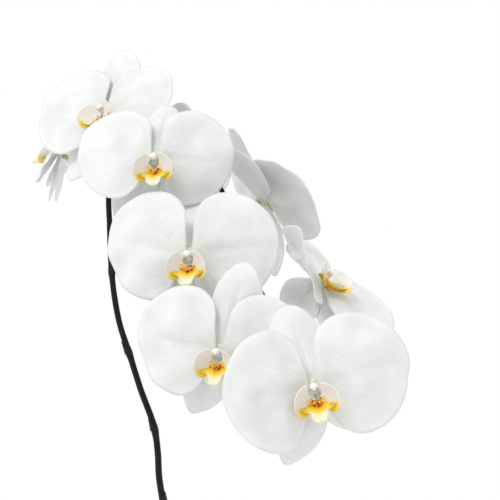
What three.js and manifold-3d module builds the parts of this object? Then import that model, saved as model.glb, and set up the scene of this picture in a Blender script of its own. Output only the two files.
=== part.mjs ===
// Potted moth orchid: one arching spike with nine white flowers, six strap leaves and three aerial
// roots on a short crown, planted in bark chips in a drained liner that stands in a plain glazed pot.
// Millimetres, +Z up. The origin is on the pot's axis at the face that it stands on, and -Y is the front.
import * as THREE from "three";
import { mergeVertices } from "three/addons/utils/BufferGeometryUtils.js";
import Module from "manifold-3d";

const wasm = await Module();
wasm.setup();

// ---------------------------------------------------------------- driving dimensions
const GAP = 0.4; // left between pieces that touch on the real plant
const SLIVER = 0.06; // flats this thin are smoothed away where solids were joined
const ROUND = 36; // sides of the pot, its liner and the bark, all alike so that their corners line up

const POT = {
  height: 118,
  baseRadius: 49,
  rimRadius: 63,
  wall: 4.5,
  floor: 6,
  footBevel: 2.5,
  rimRound: 2.2,
};
const LINER = {
  wall: 1.4,
  floor: 2,
  clearance: 1.6,
  belowRim: 7,
  drainHoles: 6,
  drainRadius: 4.5,
  drainSides: 10,
  drainReach: 0.6, // of the holes from the axis, as a share of the base's radius
};
const BARK = { belowLiner: 9, lump: 2.6, shoulder: 1 }; // its top edge draws in by the shoulder
const CROWN = { radius: 8.5, height: 40, buried: 16, tipRadius: 4, tipRise: 2, sides: 14 };

// Leaves alternate to either side of the crown, oldest first. Heading is counted from +X towards +Y.
const LEAF = {
  thickness: 2.4,
  rootHalfWidth: 9,
  lowest: 6, // of the first leaf's base above the bark
  stackStep: 6.2,
  rootBulge: 0.17, // how far the base's round end bulges back, as a share of its half width
  keel: 7,
};
const LEAVES = [
  { heading: 196, length: 196, halfWidth: 33, rise: 30, droop: 84 },
  { heading: 14, length: 206, halfWidth: 35, rise: 32, droop: 84 },
  { heading: 205, length: 222, halfWidth: 37, rise: 40, droop: 84 },
  { heading: 28, length: 214, halfWidth: 37, rise: 44, droop: 84 },
  { heading: 188, length: 176, halfWidth: 33, rise: 54, droop: 70 },
  { heading: 8, length: 128, halfWidth: 27, rise: 64, droop: 46 },
];

// Each point of a root: its share of the way from the crown to the rim, its heading, and its height over
// the bark. A root narrows to its tip over the last of its length.
const ROOT = { radius: 2.6, sides: 7, tipFrom: 0.93, tipShare: 0.7 };
const ROOT_ROUTES = [
  [
    [0.02, 252, 8], [0.36, 249, 15], [0.71, 245, 21], [1.01, 244, 20], [1.26, 243, 6], [1.43, 243, -14],
    [1.49, 243, -36],
  ],
  [[0.03, 307, 6], [0.31, 309, 10], [0.57, 311, 8], [0.77, 313, 4]],
  [[0.03, 101, 8], [0.32, 86, 14], [0.65, 79, 20], [0.98, 75, 20], [1.23, 71, 6], [1.36, 69, -16]],
];

// The spike's route, from the leaf axil up, over the arch and down to the last flower. Its heights and the
// flowers' are counted from the bark.
const SPIKE = {
  baseRadius: 2.4,
  tipRadius: 1.3,
  sides: 8,
  steps: 48,
  nodeSwell: 0.45,
  nodeLength: 3.2,
  bareFrom: 0.6, // share of its length above which it has no joints
  lastJoint: 0.995, // where the last pedicel leaves, just inside the tip
};
const SPIKE_ROUTE = [
  [1, -(CROWN.radius + SPIKE.baseRadius + 0.6), 20],
  [5, -(CROWN.radius + SPIKE.baseRadius + 3.6), 38],
  [11, -17, 56], [13, -14, 80], [8, -4, 120], [0, 3, 150], [-4, 8, 171], [-5, 10, 187], [-7.5, 12, 203],
  [-16, 15, 226], [-23.5, 18, 249], [-29.5, 20, 267], [-33.5, 22, 288], [-35.5, 25, 308], [-36.5, 28, 330],
  [-37, 33, 352], [-31, 39, 372], [-17, 43, 385], [0, 43, 387], [16, 37, 378], [31, 28, 359], [42, 18, 336],
  [51, 9, 310], [60, 1, 288], [71, -7, 269], [84, -22, 252], [95, -46, 239],
];
const STEM_NODES = [106, 154, 201, 249, 300]; // heights of the joints below the first flower

// Flower parts, for a flower whose size is 1. Outlines run from the claw along +X, and +Y is the side
// nearer the dorsal sepal.
const FLOWER = {
  petalThickness: 0.9,
  sepalThickness: 0.9,
  sepalReach: 1, // from the flower's axis to the sepals' claws
  hubRadius: 4.2,
  hubDepth: 2.4,
  hubFlare: 0.8, // of the hub's back beyond the ovary
  hubSides: 10,
  petalForward: 1.2, // of the petals from the flower's middle
  petalGap: 0.2, // between the column's foot and the petals' claws
  columnLength: 9.5,
  columnRadius: 2.3,
  columnFoot: 0.8, // of its radius, where it leaves the flower
  lipThickness: 0.8,
  lobeReach: 1.6, // from the callus's middle to the side lobes' claws
  lipDrop: 7.3, // of the lip's callus below the column
  lipForward: 4.6,
  callusRadius: 2.8,
  ovaryRadius: 1.9,
  pedicelRadius: 1.3,
  pedicelSides: 6,
  pedicelSteps: 7,
};
const PETAL_OUTLINE = [
  [0, -1.6], [3, -9], [6, -21], [13, -29.5], [23, -32], [35, -28.5], [45, -20], [52, -7], [53.5, 6], [49, 19],
  [39, 29.5], [26, 34.5], [14, 33.5], [5, 26], [2, 12], [0, 1.6],
];
const DORSAL_OUTLINE = [[0, -2.4], [9, -8], [23, -14.5], [38, -14.5], [50, -7.5], [54, 0]];
const LATERAL_OUTLINE = [[0, -2.4], [8, -9], [20, -14.5], [33, -12.5], [44, -5.5], [48.5, 0]];
const MIDLOBE_OUTLINE = [
  [0, -3], [1.2, -7.5], [2.4, -11.8], [5.4, -10.8], [6.9, -4.8], [10.5, -4.2], [13.5, -2.6], [14.6, 0],
];
const SIDE_LOBE_OUTLINE = [
  [0, -1.6], [2.5, -5.4], [6.5, -8.2], [11, -7.8], [14.2, -4.4], [15.2, 0.8], [14, 6], [11.2, 9.2],
  [8.2, 8.9], [5.6, 5.6], [2.6, 3], [0, 1.6],
];

// How each whorl is set: azimuth in the flower's face, forward tilt, and twist about its own length, all in
// degrees. Crown is how far the blade's edges fall behind its middle. Bend is how far it turns back along it.
const SEPAL_SET = {
  dorsal: { azimuth: 90, tilt: -8, twist: 0, crown: 2.5, bend: 12 },
  lateral: { azimuth: -54, tilt: -11, twist: 8, crown: 2.5, bend: 14 },
};
const PETAL_SET = { azimuth: 4, tilt: 5, twist: 0, crown: 4, bend: 28, ripple: 1.2 };
const LIP_SET = {
  midlobe: { azimuth: -90, tilt: 56, twist: 0, crown: -3, bend: 14 },
  side: { azimuth: 20, tilt: 16, twist: 0, crown: -3, bend: -50 },
};

// The flowers, first opened first. Centre is where the petals meet; yaw 0 faces the front and 90 the right;
// pitch is upwards; roll is anticlockwise as seen from in front of the flower. Joint is how far up the spike
// its pedicel leaves.
const FLOWERS = [
  {
    name: "flower_1", centre: [-75, 106, 379], yaw: -92, pitch: 32, roll: 0, size: 0.8, joint: 0.68,
    petalRight: { tilt: 12 },
  },
  {
    name: "flower_2", centre: [-40, 46, 401], yaw: -36, pitch: 33, roll: 13, size: 0.98, joint: 0.71,
    petalLeft: { azimuth: 14, tilt: 18, twist: 4 }, petalRight: { azimuth: 12, tilt: 12, scale: 0.92 },
    dorsal: { azimuth: 90, tilt: -2, bend: 2, scale: 1.08 }, lateral: { tilt: -6 },
  },
  {
    name: "flower_3", centre: [0, 72, 372], yaw: 160, pitch: 10, roll: 25, size: 0.82, joint: 0.77,
    petalRight: { tilt: 30 },
  },
  {
    name: "flower_4", centre: [-6, -8, 371], yaw: -6, pitch: 4, roll: 4, size: 0.98, joint: 0.79,
    petalLeft: { azimuth: 13, tilt: 6, twist: -17, scale: 0.93 },
    petalRight: { azimuth: -8, tilt: 8, twist: 4, scale: 0.9 },
    dorsal: { azimuth: 78, tilt: -26, bend: 14, scale: 0.82 }, lateral: { tilt: -26 },
    lateralLeft: { azimuth: -56, tilt: -10, twist: 30 },
  },
  {
    name: "flower_5", centre: [60.5, 38, 346], yaw: 130, pitch: 36, roll: 30, size: 1, joint: 0.85,
    petalLeft: { azimuth: 28, tilt: 10, scale: 0.97 }, petalRight: { tilt: 40 }, lateral: { tilt: -20 },
  },
  {
    name: "flower_6", centre: [16.5, -34, 311.5], yaw: -12, pitch: 0, roll: 3, size: 1, joint: 0.88,
    petalLeft: { azimuth: 12 }, dorsal: { azimuth: 84, tilt: -34, bend: 20 },
  },
  {
    name: "flower_7", centre: [98, 12, 294], yaw: 58, pitch: 40, roll: -35, size: 1, joint: 0.92,
    petalLeft: { azimuth: -14, tilt: 4, bend: -46, scale: 0.84 },
    petalRight: { azimuth: -20, tilt: 14, bend: 16 }, dorsal: { azimuth: 89, tilt: -2, twist: -15 },
  },
  {
    name: "flower_8", centre: [35, -58, 254], yaw: -16, pitch: -4, roll: 0, size: 1, joint: 0.95,
    petalLeft: { azimuth: 10 }, petalRight: { azimuth: -4 }, dorsal: { azimuth: 73, bend: 0 },
    lateral: { azimuth: -60 },
  },
  {
    name: "flower_9", centre: [89.5, -100, 235.5], yaw: 0, pitch: 0, roll: 12, size: 1.06, joint: 1,
    petals: { azimuth: 2 }, petalLeft: { tilt: 42 }, dorsal: { azimuth: 94, tilt: -28, twist: 16 },
    lateralRight: { azimuth: -40 }, lateralLeft: { azimuth: -61 },
  },
];

// How finely each organ is cut: points round a blade's edge and rings from its middle, and the sides of
// the round ones.
const MESH = {
  leaf: { count: 20, rings: 2 },
  petal: { count: 20, rings: 2 },
  sepal: { count: 12, rings: 2 },
  lobe: { count: 12, rings: 1 },
  callus: { around: 8, down: 5 },
  column: 8,
};

// ---------------------------------------------------------------- finishes
function finish(color, roughness) {
  return new THREE.MeshStandardMaterial({ color, roughness, metalness: 0 });
}

const GLAZE = finish(0xf2f0eb, 0.2);
const LINER_PLASTIC = finish(0x4a4f48, 0.4);
const BARK_CHIP = finish(0x5a3a24, 0.9);
const LEAF_SKIN = finish(0x2f5a2b, 0.4);
const ROOT_SKIN = finish(0x9fae8c, 0.7);
const STEM_SKIN = finish(0x241a17, 0.5);
const PETAL_SKIN = finish(0xf4f4f2, 0.6);
const LIP_SKIN = finish(0xf0d25a, 0.5);
const COLUMN_SKIN = finish(0xf6f1ea, 0.5);

// ---------------------------------------------------------------- helpers
const radians = THREE.MathUtils.degToRad;

/** A closed three.js geometry, placed by a matrix that may mirror it, as a manifold solid. */
function solidOf(geometry, matrix = new THREE.Matrix4()) {
  const position = geometry.getAttribute("position").clone().applyMatrix4(matrix);
  const bare = new THREE.BufferGeometry().setAttribute("position", position).setIndex(geometry.index);
  const merged = mergeVertices(bare, 1e-4);
  const vertProperties = merged.getAttribute("position").array;
  const triVerts = new Uint32Array(merged.index.array);
  if (matrix.determinant() < 0) triVerts.reverse();
  return new wasm.Manifold(new wasm.Mesh({ numProp: 3, vertProperties, triVerts }));
}

/** A manifold solid back as a three.js geometry, without the slivers that joining leaves. */
function geometryOf(solid) {
  const mesh = solid.simplify(SLIVER).getMesh();
  const geometry = new THREE.BufferGeometry();
  geometry.setAttribute("position", new THREE.BufferAttribute(new Float32Array(mesh.vertProperties), 3));
  geometry.setIndex(new THREE.BufferAttribute(new Uint32Array(mesh.triVerts), 1));
  geometry.computeVertexNormals();
  return geometry;
}

/** A half outline of a blade with two like sides, closed by its mirror image. */
function bothSides(half) {
  const tip = half[half.length - 1];
  const upper = half.slice(0, -1).map(([x, y]) => [x, -y]).reverse();
  return [...half.slice(0, -1), tip, ...upper];
}

/** Evenly spaced points on the smooth closed curve through an outline. */
function smoothOutline(outline, count) {
  const curve = new THREE.CatmullRomCurve3(
    outline.map(([x, y]) => new THREE.Vector3(x, y, 0)),
    true,
    "catmullrom",
    0.5,
  );
  return curve.getSpacedPoints(count).slice(0, count);
}

/** Where a flat blade's point (x, y) goes once the blade is crowned, rippled and bent along its length. */
function formed(form, x, y) {
  const middle = form.length / 2;
  const edge = Math.hypot((x - middle) / middle, y / form.halfWidth);
  const around = Math.atan2(y, x - middle);
  const ripple = (form.ripple ?? 0) * Math.min(edge, 1.2) ** 3 * Math.sin(3 * around);
  const keel = (form.keel ?? 0) * Math.min(1, Math.abs(y) / form.halfWidth);
  const rise = keel + ripple - form.crown * (y / form.halfWidth) ** 2;
  const turn = radians(form.bend) * (x / form.length) || 1e-6;
  const radius = x / turn;
  return new THREE.Vector3(
    radius * Math.sin(turn) + rise * Math.sin(turn),
    y,
    rise * Math.cos(turn) - radius * (1 - Math.cos(turn)),
  );
}

/** A thin closed blade: rings of points from the middle of its outline to its edge, on both faces. */
function bladeGeometry(outline, { count, rings }, form) {
  const edge = smoothOutline(outline, count);
  const centre = new THREE.Vector3(form.length * 0.5, 0, 0);
  const positions = [];
  const nudge = 0.05;
  const push = (x, y, side) => {
    const here = formed(form, x, y);
    const along = formed(form, x + nudge, y).sub(here);
    const across = formed(form, x, y + nudge).sub(here);
    const normal = along.cross(across).normalize();
    positions.push(...here.addScaledVector(normal, (side * form.thickness) / 2).toArray());
  };
  for (const side of [1, -1]) {
    push(centre.x, centre.y, side);
    for (let ring = 1; ring <= rings; ring++)
      for (const point of edge) {
        const at = centre.clone().lerp(point, ring / rings);
        push(at.x, at.y, side);
      }
  }
  const perFace = 1 + rings * count;
  const at = (face, ring, i) => face * perFace + (ring ? 1 + (ring - 1) * count + (i % count) : 0);
  const index = [];
  const triangle = (face, a, b, c) => index.push(...(face ? [a, c, b] : [a, b, c]));
  for (const face of [0, 1])
    for (let i = 0; i < count; i++) {
      triangle(face, at(face, 0, 0), at(face, 1, i), at(face, 1, i + 1));
      for (let ring = 1; ring < rings; ring++) {
        triangle(face, at(face, ring, i), at(face, ring + 1, i), at(face, ring + 1, i + 1));
        triangle(face, at(face, ring, i), at(face, ring + 1, i + 1), at(face, ring, i + 1));
      }
    }
  for (let i = 0; i < count; i++) {
    const [a, b] = [at(0, rings, i), at(0, rings, i + 1)];
    const [c, d] = [at(1, rings, i), at(1, rings, i + 1)];
    index.push(a, c, d, a, d, b);
  }
  const geometry = new THREE.BufferGeometry();
  geometry.setAttribute("position", new THREE.Float32BufferAttribute(positions, 3));
  geometry.setIndex(index);
  geometry.computeVertexNormals();
  return geometry;
}

/** A closed round tube along a curve, whose radius is a function of the share of its length. */
function tubeGeometry(curve, radiusAt, sides, steps) {
  const frames = curve.computeFrenetFrames(steps, false);
  const positions = [];
  const index = [];
  for (let i = 0; i <= steps; i++) {
    const centre = curve.getPointAt(i / steps);
    for (let j = 0; j < sides; j++) {
      const angle = (2 * Math.PI * j) / sides;
      const out = frames.normals[i].clone().multiplyScalar(Math.cos(angle));
      out.addScaledVector(frames.binormals[i], Math.sin(angle));
      positions.push(...centre.clone().addScaledVector(out, radiusAt(i / steps)).toArray());
    }
  }
  const at = (i, j) => i * sides + (j % sides);
  for (let i = 0; i < steps; i++)
    for (let j = 0; j < sides; j++) {
      index.push(at(i, j), at(i, j + 1), at(i + 1, j + 1));
      index.push(at(i, j), at(i + 1, j + 1), at(i + 1, j));
    }
  const ends = [curve.getPointAt(0), curve.getPointAt(1)];
  const [first, last] = [positions.length / 3, positions.length / 3 + 1];
  positions.push(...ends[0].toArray(), ...ends[1].toArray());
  for (let j = 0; j < sides; j++) {
    index.push(first, at(0, j + 1), at(0, j));
    index.push(last, at(steps, j), at(steps, j + 1));
  }
  const geometry = new THREE.BufferGeometry();
  geometry.setAttribute("position", new THREE.Float32BufferAttribute(positions, 3));
  geometry.setIndex(index);
  geometry.computeVertexNormals();
  return geometry;
}

const root = new THREE.Group();

/** Adds one named piece, from a geometry or from a manifold solid, to a group. */
function addPiece(name, shape, material, group = root) {
  const geometry = shape.isBufferGeometry ? shape : geometryOf(shape);
  const mesh = new THREE.Mesh(geometry, material);
  mesh.name = name;
  group.add(mesh);
  return mesh;
}

// ---------------------------------------------------------------- pot, liner and bark
/** The radius of the pot's outside at a height. */
const potRadiusAt = (z) => THREE.MathUtils.lerp(POT.baseRadius, POT.rimRadius, z / POT.height);

function lathe(profile, segments) {
  const geometry = new THREE.LatheGeometry(profile.map(([r, z]) => new THREE.Vector2(r, z)), segments);
  return geometry.rotateX(Math.PI / 2);
}

function potGeometry() {
  const rim = POT.rimRadius - POT.wall / 2;
  const round = [];
  for (let i = 0; i <= 4; i++) {
    const angle = (Math.PI * i) / 4;
    const across = (POT.wall / 2) * Math.cos(angle);
    const below = POT.rimRound * (1 - Math.sin(angle));
    round.push([rim + across, POT.height - below]);
  }
  return lathe(
    [
      [0, 0],
      [POT.baseRadius - POT.footBevel, 0],
      [POT.baseRadius, POT.footBevel],
      ...round,
      [POT.baseRadius - POT.wall, POT.floor],
      [0, POT.floor],
    ],
    ROUND,
  );
}

const linerRadiusAt = (z) => potRadiusAt(z) - POT.wall - LINER.clearance;
const linerBase = POT.floor + GAP;
const linerTop = POT.height - LINER.belowRim;

function linerSolid() {
  const shell = lathe(
    [
      [0, linerBase],
      [linerRadiusAt(linerBase), linerBase],
      [linerRadiusAt(linerTop), linerTop],
      [linerRadiusAt(linerTop) - LINER.wall, linerTop],
      [linerRadiusAt(linerBase + LINER.floor) - LINER.wall, linerBase + LINER.floor],
      [0, linerBase + LINER.floor],
    ],
    ROUND,
  );
  let solid = solidOf(shell);
  const { drainRadius, drainSides } = LINER;
  const hole = new THREE.CylinderGeometry(drainRadius, drainRadius, 4 * LINER.floor, drainSides);
  hole.rotateX(Math.PI / 2).translate(LINER.drainReach * linerRadiusAt(linerBase), 0, linerBase);
  for (let i = 0; i < LINER.drainHoles; i++) {
    const turn = new THREE.Matrix4().makeRotationZ((2 * Math.PI * i) / LINER.drainHoles);
    solid = solid.subtract(solidOf(hole, turn));
  }
  return solid;
}

const barkTop = linerTop - BARK.belowLiner;
const barkBase = linerBase + LINER.floor + GAP;
const barkRadiusAt = (z) => linerRadiusAt(z) - LINER.wall - GAP;

/** The height of the lumpy surface of the bark at a place in plan. */
function barkHeight(x, y) {
  const broad = Math.sin(0.19 * x + 0.6) * Math.cos(0.17 * y - 0.4);
  const fine = 0.5 * Math.sin(0.31 * (x + y));
  return barkTop + BARK.lump * (broad + fine);
}

function barkGeometry() {
  const levels = [0.33, 0.66, 1];
  const topRadius = barkRadiusAt(barkTop) - BARK.shoulder;
  const positions = [0, 0, barkBase];
  for (let i = 0; i < ROUND; i++) {
    const angle = (2 * Math.PI * i) / ROUND;
    const out = barkRadiusAt(barkBase);
    positions.push(out * Math.cos(angle), out * Math.sin(angle), barkBase);
  }
  for (const level of [...levels].reverse())
    for (let i = 0; i < ROUND; i++) {
      const angle = (2 * Math.PI * i) / ROUND;
      const [x, y] = [topRadius * level * Math.cos(angle), topRadius * level * Math.sin(angle)];
      positions.push(x, y, barkHeight(x, y));
    }
  positions.push(0, 0, barkHeight(0, 0));
  const at = (ring, i) => 1 + ring * ROUND + (i % ROUND);
  const last = 1 + (levels.length + 1) * ROUND;
  const index = [];
  for (let i = 0; i < ROUND; i++) {
    index.push(0, at(0, i + 1), at(0, i));
    for (let ring = 0; ring < levels.length; ring++) {
      index.push(at(ring, i), at(ring, i + 1), at(ring + 1, i + 1));
      index.push(at(ring, i), at(ring + 1, i + 1), at(ring + 1, i));
    }
    index.push(at(levels.length, i), at(levels.length, i + 1), last);
  }
  const geometry = new THREE.BufferGeometry();
  geometry.setAttribute("position", new THREE.Float32BufferAttribute(positions, 3));
  geometry.setIndex(index);
  return geometry;
}

/** The short stem that the leaves and roots grow from, or the hole that it fills in the bark. */
function crownGeometry(allowance) {
  const base = barkTop - CROWN.buried - allowance;
  return lathe(
    [
      [0, base],
      [0.75 * CROWN.radius + allowance, base],
      [CROWN.radius + allowance, barkTop],
      [CROWN.radius + allowance, barkTop + 0.5 * CROWN.height],
      [CROWN.tipRadius + allowance, barkTop + CROWN.height],
      [0, barkTop + CROWN.height + CROWN.tipRise],
    ],
    CROWN.sides,
  );
}

// ---------------------------------------------------------------- leaves and roots
/** A strap leaf whose base stands against the crown, folded along its midrib and arching out. */
function leafSolid(leaf, rank) {
  const { length, halfWidth } = leaf;
  const base = barkTop + LEAF.lowest + LEAF.stackStep * rank;
  const out = CROWN.radius + GAP + LEAF.rootBulge * LEAF.rootHalfWidth;
  const outline = bothSides([
    [0, -LEAF.rootHalfWidth],
    [0.16 * length, -0.52 * halfWidth],
    [0.4 * length, -0.92 * halfWidth],
    [0.66 * length, -halfWidth],
    [0.88 * length, -0.72 * halfWidth],
    [length, 0],
  ]);
  const form = { length, halfWidth, thickness: LEAF.thickness, crown: 0, keel: LEAF.keel, bend: leaf.droop };
  const geometry = bladeGeometry(outline, MESH.leaf, form);
  const place = new THREE.Matrix4()
    .makeRotationZ(radians(leaf.heading))
    .multiply(new THREE.Matrix4().makeTranslation(out, 0, base))
    .multiply(new THREE.Matrix4().makeRotationY(-radians(leaf.rise)));
  return solidOf(geometry, place);
}

function rootSolid(route) {
  const points = route.map(([share, heading, height]) => {
    const out = THREE.MathUtils.lerp(CROWN.radius, POT.rimRadius, share);
    const angle = radians(heading);
    return new THREE.Vector3(out * Math.cos(angle), out * Math.sin(angle), barkTop + BARK.lump + height);
  });
  const curve = new THREE.CatmullRomCurve3(points);
  const radiusAt = (share) => ROOT.radius * (share > ROOT.tipFrom ? ROOT.tipShare : 1);
  return solidOf(tubeGeometry(curve, radiusAt, ROOT.sides, 4 * (route.length - 1)));
}

// ---------------------------------------------------------------- spike
const overBark = ([x, y, height]) => new THREE.Vector3(x, y, barkTop + height);
const spikeCurve = new THREE.CatmullRomCurve3(SPIKE_ROUTE.map(overBark));

/** The spike's radius at a share of its length: an even taper with a swelling at each joint. */
function spikeRadius(share) {
  const height = spikeCurve.getPointAt(share).z - barkTop;
  const joints = share < SPIKE.bareFrom ? STEM_NODES : [];
  const swell = joints.reduce((sum, joint) => sum + Math.exp(-(((height - joint) / SPIKE.nodeLength) ** 2)), 0);
  return THREE.MathUtils.lerp(SPIKE.baseRadius, SPIKE.tipRadius, share) + SPIKE.nodeSwell * swell;
}

/** A flower's own axes: X to its right as seen from in front, Y to its dorsal sepal, Z the way it faces. */
function flowerMatrix(flower) {
  const [yaw, pitch] = [radians(flower.yaw), radians(flower.pitch)];
  const facing = new THREE.Vector3(
    Math.sin(yaw) * Math.cos(pitch),
    -Math.cos(yaw) * Math.cos(pitch),
    Math.sin(pitch),
  );
  const right = new THREE.Vector3(Math.cos(yaw), Math.sin(yaw), 0);
  const up = facing.clone().cross(right);
  return new THREE.Matrix4()
    .makeBasis(right, up, facing)
    .setPosition(overBark(flower.centre))
    .multiply(new THREE.Matrix4().makeRotationZ(radians(flower.roll)))
    .multiply(new THREE.Matrix4().makeScale(flower.size, flower.size, flower.size));
}

/** A flower's stalk: from the spike, curving round to meet the back of the hub square on. */
function pedicelSolid(flower) {
  const matrix = flowerMatrix(flower);
  const back = new THREE.Vector3(0, 0, -FLOWER.hubDepth - GAP).applyMatrix4(matrix);
  const facing = new THREE.Vector3(0, 0, 1).transformDirection(matrix);
  const start = spikeCurve.getPointAt(Math.min(flower.joint, SPIKE.lastJoint));
  const reach = start.distanceTo(back);
  const towards = back.clone().sub(start).normalize();
  const leaving = start.clone().addScaledVector(towards, 0.3 * reach);
  leaving.z += 0.08 * reach;
  const arriving = back.clone().addScaledVector(facing, -0.45 * reach);
  const curve = new THREE.CubicBezierCurve3(start, leaving, arriving, back);
  const radiusAt = (share) => THREE.MathUtils.lerp(FLOWER.pedicelRadius, FLOWER.ovaryRadius, share ** 2);
  return solidOf(tubeGeometry(curve, radiusAt, FLOWER.pedicelSides, FLOWER.pedicelSteps));
}

function spikeSolid() {
  let solid = solidOf(tubeGeometry(spikeCurve, spikeRadius, SPIKE.sides, SPIKE.steps));
  for (const flower of FLOWERS) solid = solid.add(pedicelSolid(flower));
  return solid;
}

// ---------------------------------------------------------------- flowers
/** Sets a blade on the flower's axes: twisted about its length, tilted forward, then turned in its face. */
function bladeMatrix({ azimuth, tilt, twist, scale = 1 }, reach, depth) {
  return new THREE.Matrix4()
    .makeRotationZ(radians(azimuth))
    .multiply(new THREE.Matrix4().makeTranslation(reach, 0, depth))
    .multiply(new THREE.Matrix4().makeRotationY(-radians(tilt)))
    .multiply(new THREE.Matrix4().makeRotationX(radians(twist)))
    .multiply(new THREE.Matrix4().makeScale(scale, scale, 1));
}

const bladeForm = (outline, thickness, set) => ({
  length: Math.max(...outline.map(([x]) => x)),
  halfWidth: Math.max(...outline.map(([, y]) => Math.abs(y))),
  thickness,
  crown: set.crown,
  bend: set.bend,
  ripple: set.ripple ?? 0,
});

/** A blade as a solid in the flower's axes. */
function bladeSolid(outline, fineness, thickness, set, reach, depth, mirrored) {
  const geometry = bladeGeometry(outline, fineness, bladeForm(outline, thickness, set));
  const place = new THREE.Matrix4().makeScale(mirrored ? -1 : 1, 1, 1);
  return solidOf(geometry, place.multiply(bladeMatrix(set, reach, depth)));
}

function sepalsSolid(flower) {
  const { sepalThickness, sepalReach, hubDepth } = FLOWER;
  const sepal = (half, set, mirrored) =>
    bladeSolid(bothSides(half), MESH.sepal, sepalThickness, set, sepalReach, -hubDepth / 2, mirrored);
  const backRadius = FLOWER.ovaryRadius + FLOWER.hubFlare;
  const hub = new THREE.CylinderGeometry(FLOWER.hubRadius, backRadius, FLOWER.hubDepth, FLOWER.hubSides);
  const place = new THREE.Matrix4().makeRotationX(Math.PI / 2).setPosition(0, 0, -FLOWER.hubDepth / 2);
  const lateral = { ...SEPAL_SET.lateral, ...flower.lateral };
  return solidOf(hub, place)
    .add(sepal(DORSAL_OUTLINE, { ...SEPAL_SET.dorsal, ...flower.dorsal }, false))
    .add(sepal(LATERAL_OUTLINE, { ...lateral, ...flower.lateralRight }, false))
    .add(sepal(LATERAL_OUTLINE, { ...lateral, ...flower.lateralLeft }, true));
}

function petalSolid(set, mirrored) {
  const reach = FLOWER.columnFoot * FLOWER.columnRadius + FLOWER.petalGap;
  return bladeSolid(
    PETAL_OUTLINE, MESH.petal, FLOWER.petalThickness, set, reach, FLOWER.petalForward, mirrored,
  );
}

function columnGeometry() {
  const r = FLOWER.columnRadius;
  const l = FLOWER.columnLength;
  return lathe(
    [
      [0, 0],
      [FLOWER.columnFoot * r, 0],
      [0.7 * r, 0.4 * l],
      [1.15 * r, 0.78 * l],
      [0.7 * r, l],
      [0, l],
    ],
    MESH.column,
  );
}

function lipSolid() {
  const lobe = (outline, set, reach, mirrored) =>
    bladeSolid(outline, MESH.lobe, FLOWER.lipThickness, set, reach, 0, mirrored);
  const callus = new THREE.SphereGeometry(FLOWER.callusRadius, MESH.callus.around, MESH.callus.down);
  return solidOf(callus)
    .add(lobe(bothSides(MIDLOBE_OUTLINE), LIP_SET.midlobe, 0, false))
    .add(lobe(SIDE_LOBE_OUTLINE, LIP_SET.side, FLOWER.lobeReach, false))
    .add(lobe(SIDE_LOBE_OUTLINE, LIP_SET.side, FLOWER.lobeReach, true));
}

/** One flower, as a group of five pieces set on its own axes. */
function addFlower(flower) {
  const group = new THREE.Group();
  flowerMatrix(flower).decompose(group.position, group.quaternion, group.scale);
  addPiece(`${flower.name}_sepals`, sepalsSolid(flower), PETAL_SKIN, group);
  const petals = { ...PETAL_SET, ...flower.petals };
  const [right, left] = [{ ...petals, ...flower.petalRight }, { ...petals, ...flower.petalLeft }];
  addPiece(`${flower.name}_petal_right`, petalSolid(right, false), PETAL_SKIN, group);
  addPiece(`${flower.name}_petal_left`, petalSolid(left, true), PETAL_SKIN, group);
  const column = addPiece(`${flower.name}_column`, columnGeometry(), COLUMN_SKIN, group);
  column.position.set(0, 0, GAP);
  const lip = addPiece(`${flower.name}_lip`, lipSolid(), LIP_SKIN, group);
  lip.position.set(0, -FLOWER.columnRadius - FLOWER.lipDrop, FLOWER.lipForward);
  root.add(group);
}

// ---------------------------------------------------------------- assembly
addPiece("pot", potGeometry(), GLAZE);
addPiece("liner", linerSolid(), LINER_PLASTIC);
addPiece("bark", solidOf(barkGeometry()).subtract(solidOf(crownGeometry(GAP))), BARK_CHIP);
addPiece("crown", crownGeometry(0), LEAF_SKIN);
LEAVES.forEach((leaf, rank) => addPiece(`leaf_${rank + 1}`, leafSolid(leaf, rank), LEAF_SKIN));
ROOT_ROUTES.forEach((route, i) => addPiece(`aerial_root_${i + 1}`, rootSolid(route), ROOT_SKIN));
addPiece("spike", spikeSolid(), STEM_SKIN);
FLOWERS.forEach(addFlower);

export default root;
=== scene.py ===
import functools
import itertools
import logging
import math
import random
from dataclasses import dataclass, field, replace
from enum import Enum
from typing import Sequence

import bpy
import numpy as np
from mathutils import Euler, Matrix, Vector, noise


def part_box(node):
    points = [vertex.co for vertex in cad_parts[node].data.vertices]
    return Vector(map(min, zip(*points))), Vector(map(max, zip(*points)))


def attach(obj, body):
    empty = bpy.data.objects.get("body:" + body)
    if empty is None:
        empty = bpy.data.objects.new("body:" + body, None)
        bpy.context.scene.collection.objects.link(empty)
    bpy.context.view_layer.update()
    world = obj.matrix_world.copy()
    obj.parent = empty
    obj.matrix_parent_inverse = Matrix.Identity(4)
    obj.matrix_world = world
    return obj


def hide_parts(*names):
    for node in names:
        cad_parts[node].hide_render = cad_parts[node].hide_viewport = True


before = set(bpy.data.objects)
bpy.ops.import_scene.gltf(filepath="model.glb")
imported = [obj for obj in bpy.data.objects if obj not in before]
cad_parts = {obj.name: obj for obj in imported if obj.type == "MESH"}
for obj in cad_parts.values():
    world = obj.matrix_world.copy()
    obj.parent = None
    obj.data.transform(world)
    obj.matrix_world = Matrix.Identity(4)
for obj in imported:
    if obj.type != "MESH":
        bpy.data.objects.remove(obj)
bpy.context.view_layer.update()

MM = 0.001  # the sizes below are in millimetres, and Blender's are in metres
LOG = logging.getLogger("orchid")
MIRROR = Matrix.Diagonal((-1, 1, 1, 1))  # swaps a flower's left and right
GOLDEN_ANGLE = 2.39996  # spreads chips evenly over a disc
BARK_BELOW_LINER = 9.0  # from the liner's rim down to the bark's middle height
BARK_LUMP = 2.6
CROWN_RADIUS = 8.5

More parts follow.
